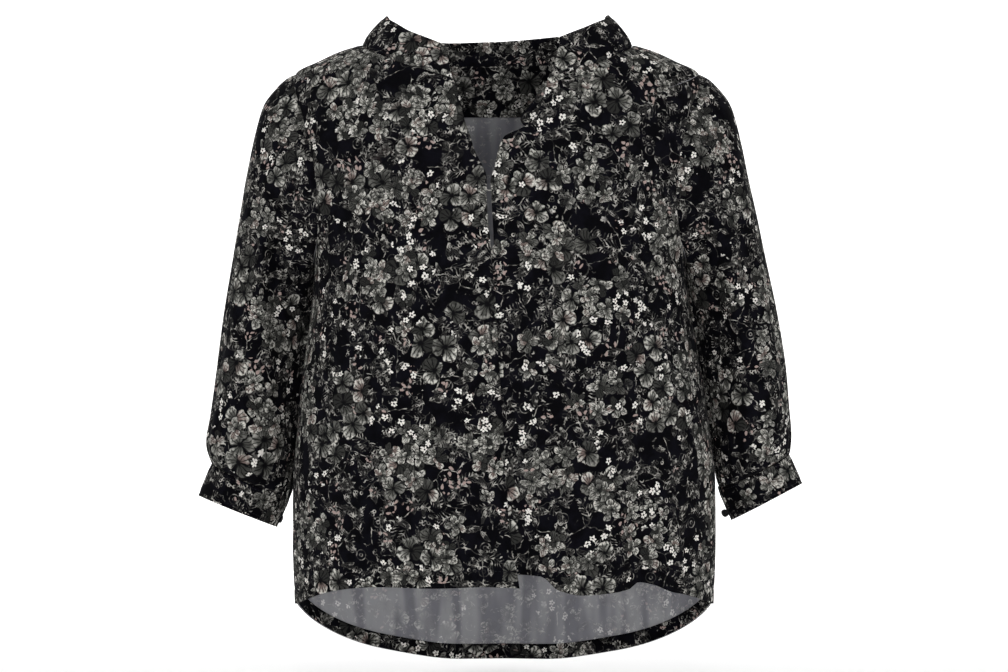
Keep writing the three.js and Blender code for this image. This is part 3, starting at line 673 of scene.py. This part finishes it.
def drawMarks(colour, line, point, bent):
    # outlined discs, short strokes and little rings between the motifs
    plan = printPlan["disc"]
    disc = motifCells(point, plan["spacing"], 201.0, 0.9)
    for radius in plan["radii"]:
        ring = fade(abs(disc.radius - radius), *plan["line"])
        colour = paint(ring * fade(disc.random[1], *plan["drawn"]) * plan["strength"], colour, line)
    plan = printPlan["stroke"]
    stroke = motifCells(bent, plan["spacing"], 131.0, 1.0)
    curve = abs(stroke.y * stroke.y * plan["curl"] + stroke.x)
    mark = fade(curve, *plan["width"]) * fade(abs(stroke.y), *plan["length"])
    mark = mark * fade(stroke.random[1], *plan["drawn"]) * fade(cloud(bent, 0.04), *plan["patches"])
    colour = paint(mark, colour, line)
    plan = printPlan["berry"]
    berry = motifCells(point, plan["spacing"], 151.0, 0.9)
    mark = fade(abs(berry.radius - plan["radius"]), *plan["line"])
    return paint(mark * fade(cloud(bent, 0.045), *plan["patches"]), colour, line)


def drawLeaves(colour, line, bent, palette):
    # leaves with outlines and veins
    plan = printPlan["leaf"]
    for spacing, shift, strength in plan["layers"]:
        leaf = motifCells(bent, spacing, shift)
        half = spacing * plan["length"]
        along, across = leaf.y / half, abs(leaf.x)
        depth = (1.0 - along * along) * (half * plan["belly"]) - across
        inside = fade(depth, -0.2, 0.3)
        vein = calc("PINGPONG", across * plan["slant"] + leaf.y, plan["veinPitch"])
        veins = fade(vein, *plan["vein"]) * 0.7
        lines = larger(fade(depth, *plan["rim"]), fade(across, *plan["middle"]), veins)
        chosen = fade(leaf.random[1], *plan["drawn"])
        colour = paint(inside * chosen, colour, palette["leaf"])
        colour = paint(inside * lines * chosen * strength, colour, line)
    return colour


def drawFerns(colour, line, bent):
    # a bent stem with paired strokes
    plan = printPlan["fern"]
    for spacing, shift, strength in plan["layers"]:
        fern = motifCells(bent, spacing, shift)
        half = spacing * plan["length"]
        across = abs(fern.x - fern.y * fern.y * (plan["bend"] / half))
        along = abs(fern.y / half)
        within = fade((1.0 - along) * (half * plan["belly"]) - across, -0.2, 0.3)
        pair = calc("PINGPONG", across * plan["slant"] + fern.y, plan["pitch"])
        stem = fade(across, *plan["stem"]) * fade(along, 1.02, 0.95)
        chosen = fade(fern.random[2], *plan["drawn"])
        colour = paint(larger(within * fade(pair, *plan["stroke"]), stem) * chosen * strength, colour, line)
    return colour


def drawStemsAndBuds(colour, line, point, bent, palette):
    plan = printPlan["stem"]
    inputs = {"Vector": bent, "Scale": 1 / plan["spacing"], "Randomness": 1.0}
    edge = addNode("TexVoronoi", inputs, voronoi_dimensions="2D", feature="DISTANCE_TO_EDGE")[0]
    colour = paint(fade(edge, *plan["line"]) * fade(cloud(point, 0.03), *plan["patches"]), colour, line)
    plan = printPlan["bud"]
    bud = motifCells(bent, plan["spacing"], 97.0, 0.6)
    narrow = bud.x * plan["narrow"]
    mark = fade(calc("SQRT", narrow * narrow + bud.y * bud.y), *plan["edge"])
    return paint(mark * fade(cloud(bent, 0.03, 1.0), *plan["patches"]), colour, palette["bud"])


def drawFlower(colour, point, palette, floret, radius, here, ring):
    # one ring of ribbed petals, each with its own tint
    count, size, waist, twist = ring
    turned = floret.angle + twist
    mask, reach, wave = petals(radius, turned, count, size, waist)
    index = calc("FLOOR", turned * (count / (2 * math.pi)) + 0.5)
    seed = addNode("CombineXYZ", {0: index, 1: floret.random[0], 2: floret.random[2]})[0]
    chance = addNode("TexWhiteNoise", {"Vector": seed}, noise_dimensions="3D")[0]
    tint = paint(fade(chance, 0.84, 0.95), palette["petal"], palette["warm"])
    tint = paint(fade(chance, 0.55, 0.0) * 0.75, tint, palette["petalDark"])
    light = fade(reach, 0.35, 0.85) * fade(chance, 0.05, 0.8) * fade(cloud(point, 0.25, 1.0), 0.30, 0.62)
    petal = paint(light, tint, palette["petalLight"])
    fan = abs(calc("SINE", turned * (count * 2.5)))
    ribs = fade(fan, 0.62, 0.30) * fade(reach, 0.95, 0.7) * 0.85
    dark = larger(ribs, fade(reach, 0.86, 0.96), fade(wave, 0.40, 0.2), fade(reach, 0.36, 0.12))
    return paint(mask * here, colour, paint(dark, petal, palette["petalDark"]))


def drawBlossoms(colour, point, bent, palette):
    # shaded blossoms in clusters, over ribbed lobes
    cluster = printPlan["cluster"]
    for plan in printPlan["florets"]:
        floret = motifCells(bent, plan["spacing"], plan["shift"], 0.75)
        group = motifCells(floret.middle, cluster["spacing"], plan["clusterShift"])
        edge = cluster["radius"] * plan["spread"]
        ragged = floret.random[1] * cluster["ragged"] + group.radius
        here = fade(ragged, *(edge + more for more in cluster["edge"]))
        radius = floret.radius / (floret.random[1] * 0.35 + 0.8)
        rings = [(plan["petals"], 1.0, 0.0)]
        if plan["petals"] > 3:
            rings.append((plan["petals"] - 1, 0.5, 0.7))  # a smaller ring on top
        for count, share, twist in rings:
            ring = (count, plan["size"] * share, plan["waist"], twist)
            colour = drawFlower(colour, point, palette, floret, radius, here, ring)
    return colour


def drawStars(colour, point, bent, palette):
    # small white five-pointed flowers in loose groups
    plan = printPlan["star"]
    spray = cloud(point, 0.022, 1.0)
    for spacing, shift, cut in plan["layers"]:
        star = motifCells(bent, spacing, shift, 1.0)
        mask = petals(star.radius, star.angle, 5, plan["size"], plan["waist"])[0]
        chosen = fade(spray, cut, cut + 0.02) * fade(star.random[2], *plan["drawn"])
        colour = paint(fade(star.radius, *plan["halo"]) * chosen * 0.85, colour, palette["ground"])
        colour = paint(mask * chosen, colour, palette["star"])
        colour = paint(fade(star.radius, *plan["eye"]) * chosen, colour, palette["starEye"])
    return colour


def printedCloth(name, palette):
    material = newMaterial(name)
    point = scaled(addNode("UVMap", uv_map="flatCloth")[0], 1000.0)  # in millimetres
    wobble = addNode("TexNoise", {"Vector": point, "Scale": 0.09, "Detail": 2.0}, noise_dimensions="2D")[1]
    bent = vector("ADD", point, scaled(vector("SUBTRACT", wobble, (0.5, 0.5, 0.5)), printPlan["wobble"]))
    mottle = fade(cloud(point, 0.05, 3.0), *printPlan["ground"])
    colour = paint(mottle, palette["ground"], palette["groundLight"])
    line = paint(fade(cloud(point, 0.16, 1.0), *printPlan["lines"]), palette["lineDim"], palette["line"])
    colour = drawMarks(colour, line, point, bent)
    colour = drawLeaves(colour, line, bent, palette)
    colour = drawFerns(colour, line, bent)
    colour = drawStemsAndBuds(colour, line, point, bent, palette)
    colour = drawBlossoms(colour, point, bent, palette)
    colour = drawStars(colour, point, bent, palette)
    if palette["ghost"]:
        # pale reverse tone with painted fold shading: streaks stretched down the cloth stand for the light
        # and shade of soft vertical folds
        drawn = vector("MULTIPLY", point, (1.0, 0.16, 1.0))
        pale = paint(fade(cloud(drawn, 0.045, 1.0), 0.36, 0.64), palette["paleFoldShade"], palette["paleFoldLight"])
        colour = paint(palette["ghost"], colour, pale)
    slub = addNode("Bump", {"Strength": 0.35, "Distance": 0.0016, "Height": cloud(point, 0.06, 4.0)})[0]
    weave = {"Strength": 0.12, "Distance": 0.0003, "Height": cloud(point, 1.6, 2.0), "Normal": slub}
    finishMaterial({
        "Base Color": colour, "Roughness": 0.9, "Specular IOR Level": 0.04, "Sheen Weight": 0.006,
        "Sheen Roughness": 0.5, "Normal": addNode("Bump", weave)[0],
    })
    return material


printedViscose = printedCloth("printed viscose", rightSide)
reverseViscose = printedCloth("viscose reverse", wrongSide)
print("cloth materials made")


def gridFaces(rows, columns):
    # the points' numbers in a grid, and the four-sided faces between them
    at = np.arange(rows * columns).reshape(rows, columns)
    return at, np.stack([at[:-1, :-1], at[:-1, 1:], at[1:, 1:], at[1:, :-1]], axis=-1).reshape(-1, 4)


def faceArea(points):
    across, up = points[:-1, 1:] - points[:-1, :-1], points[1:, :-1] - points[:-1, :-1]
    if points.shape[-1] == 2:
        return np.abs(across[..., 0] * up[..., 1] - across[..., 1] * up[..., 0]).sum()
    return np.linalg.norm(np.cross(across, up), axis=-1).sum()


def deselectAll():
    if bpy.context.object and bpy.context.object.mode != "OBJECT":
        bpy.ops.object.mode_set(mode="OBJECT")
    bpy.ops.object.select_all(action="DESELECT")


def editAll(operator, **settings):
    # runs an operator on the whole of the active part
    bpy.ops.object.mode_set(mode="EDIT")
    bpy.ops.mesh.select_all(action="SELECT")
    operator(**settings)
    bpy.ops.object.mode_set(mode="OBJECT")


def flatCloth(points, upwards):
    # unwraps a sheet of cloth and gives its flat places in metres, turned so that upwards runs along V
    rows, columns = points.shape[:2]
    sheet = bpy.data.meshes.new("flatSheet")
    quads = gridFaces(rows, columns)[1]
    sheet.from_pydata((points.reshape(-1, 3) * mm).tolist(), [], quads.tolist())
    sheet.uv_layers.new(name="flatCloth")
    holder = bpy.data.objects.new("flatSheet", sheet)
    bpy.context.collection.objects.link(holder)
    deselectAll()
    holder.select_set(True)
    bpy.context.view_layer.objects.active = holder
    editAll(bpy.ops.uv.unwrap, method="CONFORMAL", margin=0)
    loops = np.empty(len(sheet.loops) * 2)
    sheet.uv_layers["flatCloth"].data.foreach_get("uv", loops)
    flat = np.zeros((rows * columns, 2))
    flat[quads.reshape(-1)] = loops.reshape(-1, 2)
    bpy.data.objects.remove(holder)
    bpy.data.meshes.remove(sheet)
    flat = flat.reshape(rows, columns, 2)
    flat = flat * math.sqrt(faceArea(points) / faceArea(flat)) * mm
    core = slice(rows // 4, 3 * rows // 4)
    way = (flat[core][1:] - flat[core][:-1]).sum(axis=(0, 1)) * upwards
    turn = math.pi / 2 - math.atan2(way[1], way[0])
    spin = np.array([[math.cos(turn), -math.sin(turn)], [math.sin(turn), math.cos(turn)]])
    return flat @ spin.T


def clothShell(name, points, within, look):
    # a closed thin wall of cloth between a face and the same face moved inwards
    rows, columns = points.shape[:2]
    normals = np.cross(np.gradient(points, axis=1), np.gradient(points, axis=0))
    normals /= np.maximum(np.linalg.norm(normals, axis=-1, keepdims=True), 1e-9)
    if np.sum(normals * (points - within)) < 0:
        normals = -normals
    flat = (flatCloth(points, look["upwards"]) + np.array(look["cutAt"]) * mm).reshape(-1, 2)
    stepUp = np.linalg.norm(np.diff(points, axis=0), axis=-1)
    stepOver = np.linalg.norm(np.diff(points, axis=1), axis=-1)
    low = np.vstack([np.zeros((1, columns)), np.cumsum(stepUp, axis=0)])
    first = np.hstack([np.zeros((rows, 1)), np.cumsum(stepOver, axis=1)])
    gaps = {"low": low, "high": low[-1:] - low, "first": first, "last": first[:, -1:] - first}
    if "seamNormals" in look:  # the low edge faces as the cloth it is sewn to, so the seam stays shut
        share = np.exp(-((low / cloth["seamBlend"]) ** 2))[..., None]
        normals = unit(mix(normals, look["seamNormals"][None], share))
    dent = np.zeros((rows, columns))
    for edge, away in look["pinches"]:
        dent = np.maximum(dent, np.exp(-(((gaps[edge] - away) / cloth["pinchWidth"]) ** 2)))
    outer = points - normals * (dent * cloth["pinchDepth"])[..., None]
    inner = points - normals * look["thick"]
    clothFaces[name] = {"outer": outer, "normals": normals, "gaps": gaps}
    places = np.concatenate([outer.reshape(-1, 3), inner.reshape(-1, 3)]) * mm
    at, face = gridFaces(rows, columns)
    below = rows * columns
    loop = np.concatenate([at[0, :], at[1:, -1], at[-1, -2::-1], at[-2:0:-1, 0]])
    after = np.roll(loop, -1)
    rim = np.stack([loop, loop + below, after + below, after], axis=-1)
    quads = np.concatenate([face, face[:, ::-1] + below, rim])
    corners = places[quads]
    volume = sum(np.sum(corners[:, 0] * np.cross(corners[:, i], corners[:, i + 1])) for i in (1, 2))
    if volume < 0:
        quads = quads[:, ::-1]
    mesh = bpy.data.meshes.new(name)
    mesh.from_pydata(places.tolist(), [], quads.tolist())
    uvLayer = mesh.uv_layers.new(name="flatCloth")
    uvLayer.data.foreach_set("uv", np.concatenate([flat, flat])[quads.reshape(-1)].reshape(-1))
    for material in look["materials"]:
        mesh.materials.append(material)
    slots = np.zeros(len(quads), int)
    slots[len(face):2 * len(face)] = 1
    mesh.polygons.foreach_set("material_index", slots)
    mesh.polygons.foreach_set("use_smooth", np.ones(len(quads), bool))
    mesh.update()
    piece = bpy.data.objects.new(name, mesh)
    bpy.context.collection.objects.link(piece)
    area = float(faceArea(points)) * mm**2
    size = flat.max(axis=0) - flat.min(axis=0)
    if look.get("strip"):  # a band cut straight, measured along its middle with a little over
        size = np.array([stepOver[rows // 2].sum(), stepUp.sum(axis=0).mean()]) * mm * 1.02
    print(name, len(quads) * 2, "triangles, flat", size.round(3), "area", round(area, 4))
    return piece, [float(length) for length in size], area


clothFaces = {}  # each piece's outer face, for the stitches
twoFaces = [printedViscose, reverseViscose]
shown = [printedViscose, printedViscose]
bodyMiddle = np.array([0.0, 0.0, -300.0])


def layCloth(node, points, within, look):
    piece, size, area = clothShell("cloth_" + node, points, within, look)
    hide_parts(node)
    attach(piece, "root")
    area = min(area * look.get("fullness", 1.0), size[0] * size[1])


def evenColumns(start, end, count):
    return np.linspace(start, end, count)[None, :]


def evenRows(start, end, count):
    return evenColumns(start, end, count).T


# Fronts and back
panelLook = {"thick": cloth["thick"], "materials": twoFaces, "upwards": 1}
frontLook = dict(panelLook, pinches=[("first", 0), ("high", 0), ("low", panelCut["hemTurn"])])
for side, node, cutAt in ((-1, "front_right", (40, 700)), (1, "front_left", (610, 760))):
    points = frontPlace(side, evenColumns(0, 1, panelCut["columns"]["front"] + 1), fineRows[:, None])
    layCloth(node, points, bodyMiddle, dict(frontLook, cutAt=cutAt))
backLook = dict(frontLook, cutAt=(330, 2100), pinches=frontLook["pinches"] + [("last", 0)])
backShares = evenColumns(-1, 1, panelCut["columns"]["back"] + 1)
layCloth("back", backPlace(backShares, fineRows[:, None]), bodyMiddle, backLook)
print("fronts and back made")

# Turned-up hems, printed side showing on the inside
hemLook = {"thick": 0.7, "materials": shown, "upwards": -1, "pinches": [], "strip": True, "inner": 14 / 16}
hemSteps = evenRows(0.03, 1, 6)
for side, name, cutAt in ((-1, "right", (60, 3100)), (1, "left", (650, 3160))):
    points = frontPlace(side, evenColumns(0, hemLook["inner"], 100), hemSteps, cloth["layerStep"])
    layCloth("hem_" + name, points, bodyMiddle, dict(hemLook, cutAt=cutAt))
points = backPlace(backShares, hemSteps, cloth["layerStep"])
layCloth("hem_back", points, bodyMiddle, dict(hemLook, cutAt=(300, 3300)))

# Facings inside the neck
facingLook = dict(panelLook, materials=shown, cutAt=(820, 3500), pinches=[])
backFacing = {"end": 13 / 14, "tuckFrom": 22.3, "tuckIn": 0.6, "tuckUp": 1.6}
facingRows = evenRows(20, 23, 28)
facingShares = evenColumns(-backFacing["end"], backFacing["end"], 130)
tuck = rise(facingRows, backFacing["tuckFrom"], 23)  # its top edge goes up behind the collar's seam
flatFacing, tuckedFacing = (
    backPlace(facingShares, facingRows, cloth["layerStep"] + more) for more in (0, backFacing["tuckIn"])
)
points = mix(flatFacing, tuckedFacing, tuck[..., None])
points[..., 2] += backFacing["tuckUp"] * tuck
layCloth("back_facing", points, bodyMiddle, facingLook)

neckFacing = {
    "edge": table("z x", (-105, 36), (-100, 26.5), (-94, 23.5), (-79, 34), (-68, 41), (-52, 49)),
    "low": -105, "high": -52, "inner": 72, "hang": 5, "hangFade": 28, "clear": 0.5,
}
facingZ, facingAcross = evenRows(neckFacing["low"], neckFacing["high"], 22), evenColumns(0, 1, 18)
facingX = mix(readTable(neckFacing["edge"], "z", "x", facingZ), neckFacing["inner"], facingAcross)
points = bodyPlace(1, turnAt(1, facingX, facingZ), facingZ, cloth["layerStep"] + neckFacing["clear"], 1)
hanging = rise(neckFacing["high"] - facingZ, 0, neckFacing["hangFade"])
points[..., 1] += neckFacing["hang"] * (1 - facingAcross) * hanging
layCloth("neck_facing", points, bodyMiddle, dict(facingLook, cutAt=(980, 3700)))
print("hems and facings made")

# Stand collar
collarLook = {
    "thick": collarForm["thick"], "materials": shown, "upwards": 1, "cutAt": (120, 4000), "strip": True,
    "pinches": [("low", 0), ("low", 3.5), ("high", 3.0)],
}
points = collarPoint(evenColumns(-1, 1, collarForm["columns"] + 1), evenRows(0, 1, collarForm["rows"] + 1))
layCloth("collar", points, np.array([0.0, 0.0, -30.0]), collarLook)
print("collar made")

# Sleeves and cuffs
sleeveLook = dict(panelLook, upwards=-1, fullness=1.12, pinches=[("low", 0), ("high", 0)])
cuffPinches = [("low", 0), ("low", 3.0), ("high", 3.0)]
cuffLook = dict(collarLook, thick=cuffForm["thick"], upwards=-1, pinches=cuffPinches)
cutAt = {"right": ((90, 5200), (200, 6000)), "left": ((840, 5320), (700, 6100))}
for side, name in ((-1, "right"), (1, "left")):
    sleeveAt, cuffAt = cutAt[name]
    angles = np.pi + evenColumns(0, 2 * np.pi, sleeveForm["columns"] + 1)
    angles, alongs = np.broadcast_arrays(angles, evenRows(0, 1, sleeveForm["steps"] + 1))
    armZ, armTurn = armholePlace(angles[0])
    look = dict(sleeveLook, cutAt=sleeveAt, seamNormals=bodyNormal(side, armTurn, armZ))
    points = sleevePoint(side, angles, alongs)
    layCloth("sleeve_" + name, points, sleeveMiddle(side, alongs), look)
    ends = cuffForm["ends"][name]
    degrees = evenColumns(ends["under"], ends["top"] - 360, cuffForm["columns"] + 1)
    degrees, downs = np.broadcast_arrays(degrees, evenRows(0, 1, cuffForm["rows"] + 1))
    within = sleeveMiddle(side, np.ones_like(downs)) + cuffFall(side) * (cuffForm["width"] * downs)[..., None]
    layCloth("cuff_" + name, cuffPoint(side, degrees, downs), within, dict(cuffLook, cutAt=cuffAt))
print("sleeves and cuffs made")


# Plain materials
def plainMaterial(name, code, roughness, specular, grain, shade, strength):
    material = newMaterial(name)
    place = addNode("TexCoord")[3]  # by the object's own places
    noise = addNode("TexNoise", {"Vector": place, "Scale": grain, "Detail": 3.0})[0]
    bump = addNode("Bump", {"Strength": strength, "Distance": 0.0002, "Height": noise})[0]
    colour = paint(noise, linear(code, shade), code)
    finishMaterial({
        "Base Color": colour, "Roughness": roughness, "Specular IOR Level": specular, "Normal": bump,
    })
    return material


buttonPlastic = plainMaterial("button plastic", "#17171b", 0.38, 0.5, 260.0, 0.75, 0.1)
darkThread = plainMaterial("dark thread", "#1d1d24", 0.8, 0.2, 2500.0, 0.6, 0.5)
paleThread = plainMaterial("pale thread", "#a8a79f", 0.8, 0.2, 2500.0, 0.7, 0.5)
floorPaper = plainMaterial("backdrop paper", "#f4f4f4", 0.95, 0.1, 30.0, 0.995, 0.02)


def addCylinder(sides, radius, depth, place=(0, 0, 0)):
    deselectAll()
    bpy.ops.mesh.primitive_cylinder_add(vertices=sides, radius=radius * mm, depth=depth * mm, location=place)
    return bpy.context.object


def chooseFaces(part, chosen):
    # selects a part's faces by their normals, and stays in edit mode
    bpy.ops.object.mode_set(mode="EDIT")
    bpy.ops.mesh.select_mode(type="FACE")
    bpy.ops.mesh.select_all(action="DESELECT")
    bpy.ops.object.mode_set(mode="OBJECT")
    for face in part.data.polygons:
        face.select = chosen(face.normal)
    bpy.ops.object.mode_set(mode="EDIT")


def joinParts(parts, name):
    deselectAll()
    for part in parts:
        part.select_set(True)
    bpy.context.view_layer.objects.active = parts[0]
    bpy.ops.object.join()
    parts[0].name = name
    return parts[0]


# Cuff buttons: a dished disc with a soft rim and four sewn holes
button = {
    "radius": 4.6, "thick": 2.2, "rim": 1.1, "dish": 0.5, "dishSlope": 0.35, "soft": 0.35, "hole": 0.55,
    "holeFrom": 1.15, "thread": 0.32, "threadBow": 0.35,
}


def buttonDisc():
    disc = addCylinder(48, button["radius"], button["thick"])
    chooseFaces(disc, lambda normal: normal.z > 0.9)
    bpy.ops.mesh.inset(thickness=button["rim"] * mm)
    bpy.ops.mesh.inset(thickness=button["dishSlope"] * mm, depth=-button["dish"] * mm)
    bpy.ops.object.mode_set(mode="OBJECT")
    soften = disc.modifiers.new("soft edges", "BEVEL")
    soften.width, soften.segments, soften.angle_limit = button["soft"] * mm, 3, math.radians(50)
    bpy.ops.object.modifier_apply(modifier=soften.name)
    out = button["holeFrom"] * mm
    for place in ((out, out, 0), (out, -out, 0), (-out, out, 0), (-out, -out, 0)):
        drill = addCylinder(16, button["hole"], 6, place)
        deselectAll()
        disc.select_set(True)
        bpy.context.view_layer.objects.active = disc
        cut = disc.modifiers.new("sewing hole", "BOOLEAN")
        cut.object, cut.operation, cut.solver = drill, "DIFFERENCE", "EXACT"
        bpy.ops.object.modifier_apply(modifier=cut.name)
        bpy.data.objects.remove(drill)
    disc.data.materials.clear()
    disc.data.materials.append(buttonPlastic)
    return disc


def buttonThread(angle):
    # a thread from one hole to the one across, bowed up in its middle
    reach = 2 * math.hypot(button["holeFrom"], button["holeFrom"])
    strand = addCylinder(12, button["thread"], reach)
    editAll(bpy.ops.mesh.subdivide, number_cuts=3)
    way = (math.cos(math.radians(angle)), math.sin(math.radians(angle)))
    floor = (button["thick"] / 2 - button["dish"]) * mm
    for vertex in strand.data.vertices:
        x, y, z = vertex.co
        bow = (1 - (2 * z / (reach * mm)) ** 2) * button["threadBow"] * mm
        vertex.co = (way[0] * z - way[1] * y, way[1] * z + way[0] * y, floor + bow + x)
    strand.data.materials.append(darkThread)
    return strand


def buttonFacing(name, side):
    # square to the cuff where the button is sewn on, then tilted forward
    ends = cuffForm["ends"][name]
    degrees, down = np.array([ends["button"] - 360.0]), np.array([cuffForm["buttonDown"]])
    over = cuffPoint(side, degrees + 1, down)[0] - cuffPoint(side, degrees - 1, down)[0]
    along = cuffPoint(side, degrees, down + 0.03)[0] - cuffPoint(side, degrees, down - 0.03)[0]
    normal = unit(np.cross(over, along))
    hub = (sleeveMiddle(side, np.ones(1)) + cuffFall(side) * cuffForm["width"] * cuffForm["buttonDown"])[0]
    if np.dot(normal, cuffPoint(side, degrees, down)[0] - hub) < 0:
        normal = -normal
    tilt = math.sin(math.radians(ends["buttonTilt"]))
    return Vector(normal * (1 - tilt) + np.array([0, -1.0, 0]) * tilt).normalized()


for side, name in ((-1, "right"), (1, "left")):
    node = "cuff_button_" + name
    low, high = (Vector(corner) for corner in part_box(node))
    part = joinParts([buttonDisc(), buttonThread(45), buttonThread(135)], "button_" + name)
    matrix = buttonFacing(name, side).to_track_quat("Z", "Y").to_matrix().to_4x4()
    matrix.translation = (low + high) / 2
    part.data.transform(matrix)
    part.data.update()
    bpy.ops.object.shade_smooth_by_angle(angle=math.radians(35))
    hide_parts(node)
    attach(part, "root")
print("buttons made")

# Rows of stitches: one stitch is modelled, then copied along each row
stitch = {"length": 2.7, "radius": 0.26, "pitch": 4.0, "dip": 0.3, "lift": 0.12, "round": 0.1}
stitchModel = addCylinder(8, stitch["radius"], stitch["length"])
chooseFaces(stitchModel, lambda normal: abs(normal.z) > 0.9)
bpy.ops.mesh.inset(thickness=stitch["round"] * mm, depth=stitch["round"] * mm)
editAll(bpy.ops.mesh.subdivide, number_cuts=1)
for vertex in stitchModel.data.vertices:
    x, y, z = vertex.co
    vertex.co = (z, y, x - stitch["dip"] * mm * (2 * z / (stitch["length"] * mm)) ** 2)
bpy.ops.object.shade_smooth()
stitchModel.data.materials.append(darkThread)


def stitchRow(name, piece, edge, away):
    # follows the cloth at a set distance from one of its edges
    face = clothFaces["cloth_" + piece]
    gaps = face["gaps"][edge]
    order = np.argsort(gaps[:, 0])

    def rowOf(values, column):
        return [np.interp(away, gaps[order, column], values[order, column, i]) for i in range(3)]

    columns = range(gaps.shape[1])
    path, normals = (np.array([rowOf(face[of], column) for column in columns]) for of in ("outer", "normals"))
    run = np.concatenate([[0], np.cumsum(np.linalg.norm(np.diff(path, axis=0), axis=1))])

    def placeOn(values, at):
        return np.array([np.interp(at, run, values[:, i]) for i in range(3)])

    copies = []
    for at in np.arange(stitch["pitch"], run[-1] - stitch["pitch"], stitch["pitch"]):
        here, upward = placeOn(path, at), Vector(placeOn(normals, at))
        along = Vector(placeOn(path, at + 0.5) - here).normalized()
        upward = (upward - along * upward.dot(along)).normalized()
        matrix = Matrix((along, upward.cross(along), upward)).transposed().to_4x4()
        matrix.translation = Vector((here + np.array(upward) * stitch["lift"]) * mm)
        mesh = stitchModel.data.copy()
        mesh.transform(matrix)
        copy = bpy.data.objects.new(name, mesh)
        bpy.context.collection.objects.link(copy)
        copies.append(copy)
    row = joinParts(copies, name)
    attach(row, "root")
    return len(copies)


stitchRows = (
    ("hem_stitches_right", "front_right", "low", 18), ("hem_stitches_left", "front_left", "low", 18),
    ("hem_stitches_back", "back", "low", 18), ("collar_stitches_low", "collar", "low", 3.5),
    ("collar_stitches_top", "collar", "high", 3.0), ("cuff_stitches_right", "cuff_right", "low", 3.0),
    ("cuff_stitches_left", "cuff_left", "low", 3.0), ("cuff_edge_stitches_right", "cuff_right", "high", 3.0),
    ("cuff_edge_stitches_left", "cuff_left", "high", 3.0),
)
print(sum(stitchRow(*row) for row in stitchRows), "stitches made")
bpy.data.objects.remove(stitchModel)

# Thread bar across the top of the slit
threadBar = {
    "from": (-14.6, -172.0), "to": (-7.2, -173.2), "radius": 0.55, "bow": 1.2, "flatness": 0.2, "lift": 0.4,
}
(barX0, barZ0), (barX1, barZ1) = threadBar["from"], threadBar["to"]
startPoint = bodyPlace(-1, turnAt(-1, barX0, barZ0), barZ0)
endPoint = bodyPlace(1, turnAt(1, barX1, barZ1), barZ1)
bar = addCylinder(12, threadBar["radius"], 1 / mm)
bar.name = "thread_bar"
editAll(bpy.ops.mesh.subdivide, number_cuts=5)
for vertex in bar.data.vertices:
    x, y, z = vertex.co
    spine = mix(startPoint, endPoint, z + 0.5) * mm
    sag = threadBar["bow"] * mm * (1 - (2 * z) ** 2)
    vertex.co = spine + (x * threadBar["flatness"], y - threadBar["lift"] * mm, x - sag)
bar.data.materials.append(paleThread)
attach(bar, "root")
print("thread bar made")

# Floor, light and camera
stage = {"floor": -0.742, "width": 12.0, "front": -6.0, "back": 3.2, "sweep": 1.6, "top": 5.0}
deselectAll()
bpy.ops.mesh.primitive_plane_add(size=1, location=(0, 0, 0))
floor = bpy.context.object
floor.name = "floor"
editAll(bpy.ops.mesh.subdivide, number_cuts=40)
flatLength, arc = stage["back"] - stage["front"], stage["sweep"] * math.pi / 2
for vertex in floor.data.vertices:
    length = (vertex.co.y + 0.5) * (flatLength + arc + stage["top"])
    bend = min(max(length - flatLength, 0) / stage["sweep"], math.pi / 2)
    y = stage["front"] + min(length, flatLength) + stage["sweep"] * math.sin(bend)
    z = stage["sweep"] * (1 - math.cos(bend)) + max(length - flatLength - arc, 0)
    vertex.co = (vertex.co.x * stage["width"], y, z + stage["floor"])
bpy.ops.object.shade_smooth()
floor.data.materials.append(floorPaper)

lights = table(
    "name place aim size power",
    ("side right", (-2.7, -1.5, 0.9), (0, 0, -0.3), 0.9, 29),
    ("side left", (2.7, -1.5, 0.9), (0, 0, -0.3), 0.9, 27),
    ("front", (-0.1, -3.0, 1.9), (0, 0, -0.3), 1.1, 13),
    ("top", (0, 0.2, 2.2), (0, 0.1, -0.4), 2.0, 14),
    ("low", (0, -2.0, -0.56), (0, 0.1, -0.68), 0.5, 12),
    ("backdrop", (0, 2.0, 2.6), (0, 4.6, 0.2), 3.5, 270),
)
for light in lights:
    data = bpy.data.lights.new(light["name"], "AREA")
    data.size, data.energy = light["size"], light["power"]
    lamp = bpy.data.objects.new(light["name"], data)
    lamp.location = light["place"]
    lamp.rotation_euler = (Vector(light["aim"]) - Vector(light["place"])).to_track_quat("-Z", "Y").to_euler()
    bpy.context.collection.objects.link(lamp)
world = bpy.data.worlds.new("studio")
world.use_nodes = True
sky = world.node_tree.nodes["Background"].inputs
sky["Color"].default_value, sky["Strength"].default_value = (1, 1, 1, 1), 0.1
bpy.context.scene.world = world
bpy.context.scene.view_settings.view_transform = "Standard"

view = {"x": 0.00575, "y": -2.5, "z": -0.332, "focal": 2173.9, "pixels": 1008, "sensor": 36}
camera = bpy.data.cameras.new("camera")
camera.sensor_width = view["sensor"]
camera.lens = view["focal"] / view["pixels"] * view["sensor"]
cameraObject = bpy.data.objects.new("camera", camera)
cameraObject.location = (view["x"], view["y"], view["z"])
cameraObject.rotation_euler = (math.radians(90), 0, 0)
bpy.context.collection.objects.link(cameraObject)
bpy.context.scene.camera = cameraObject
print("stage made")
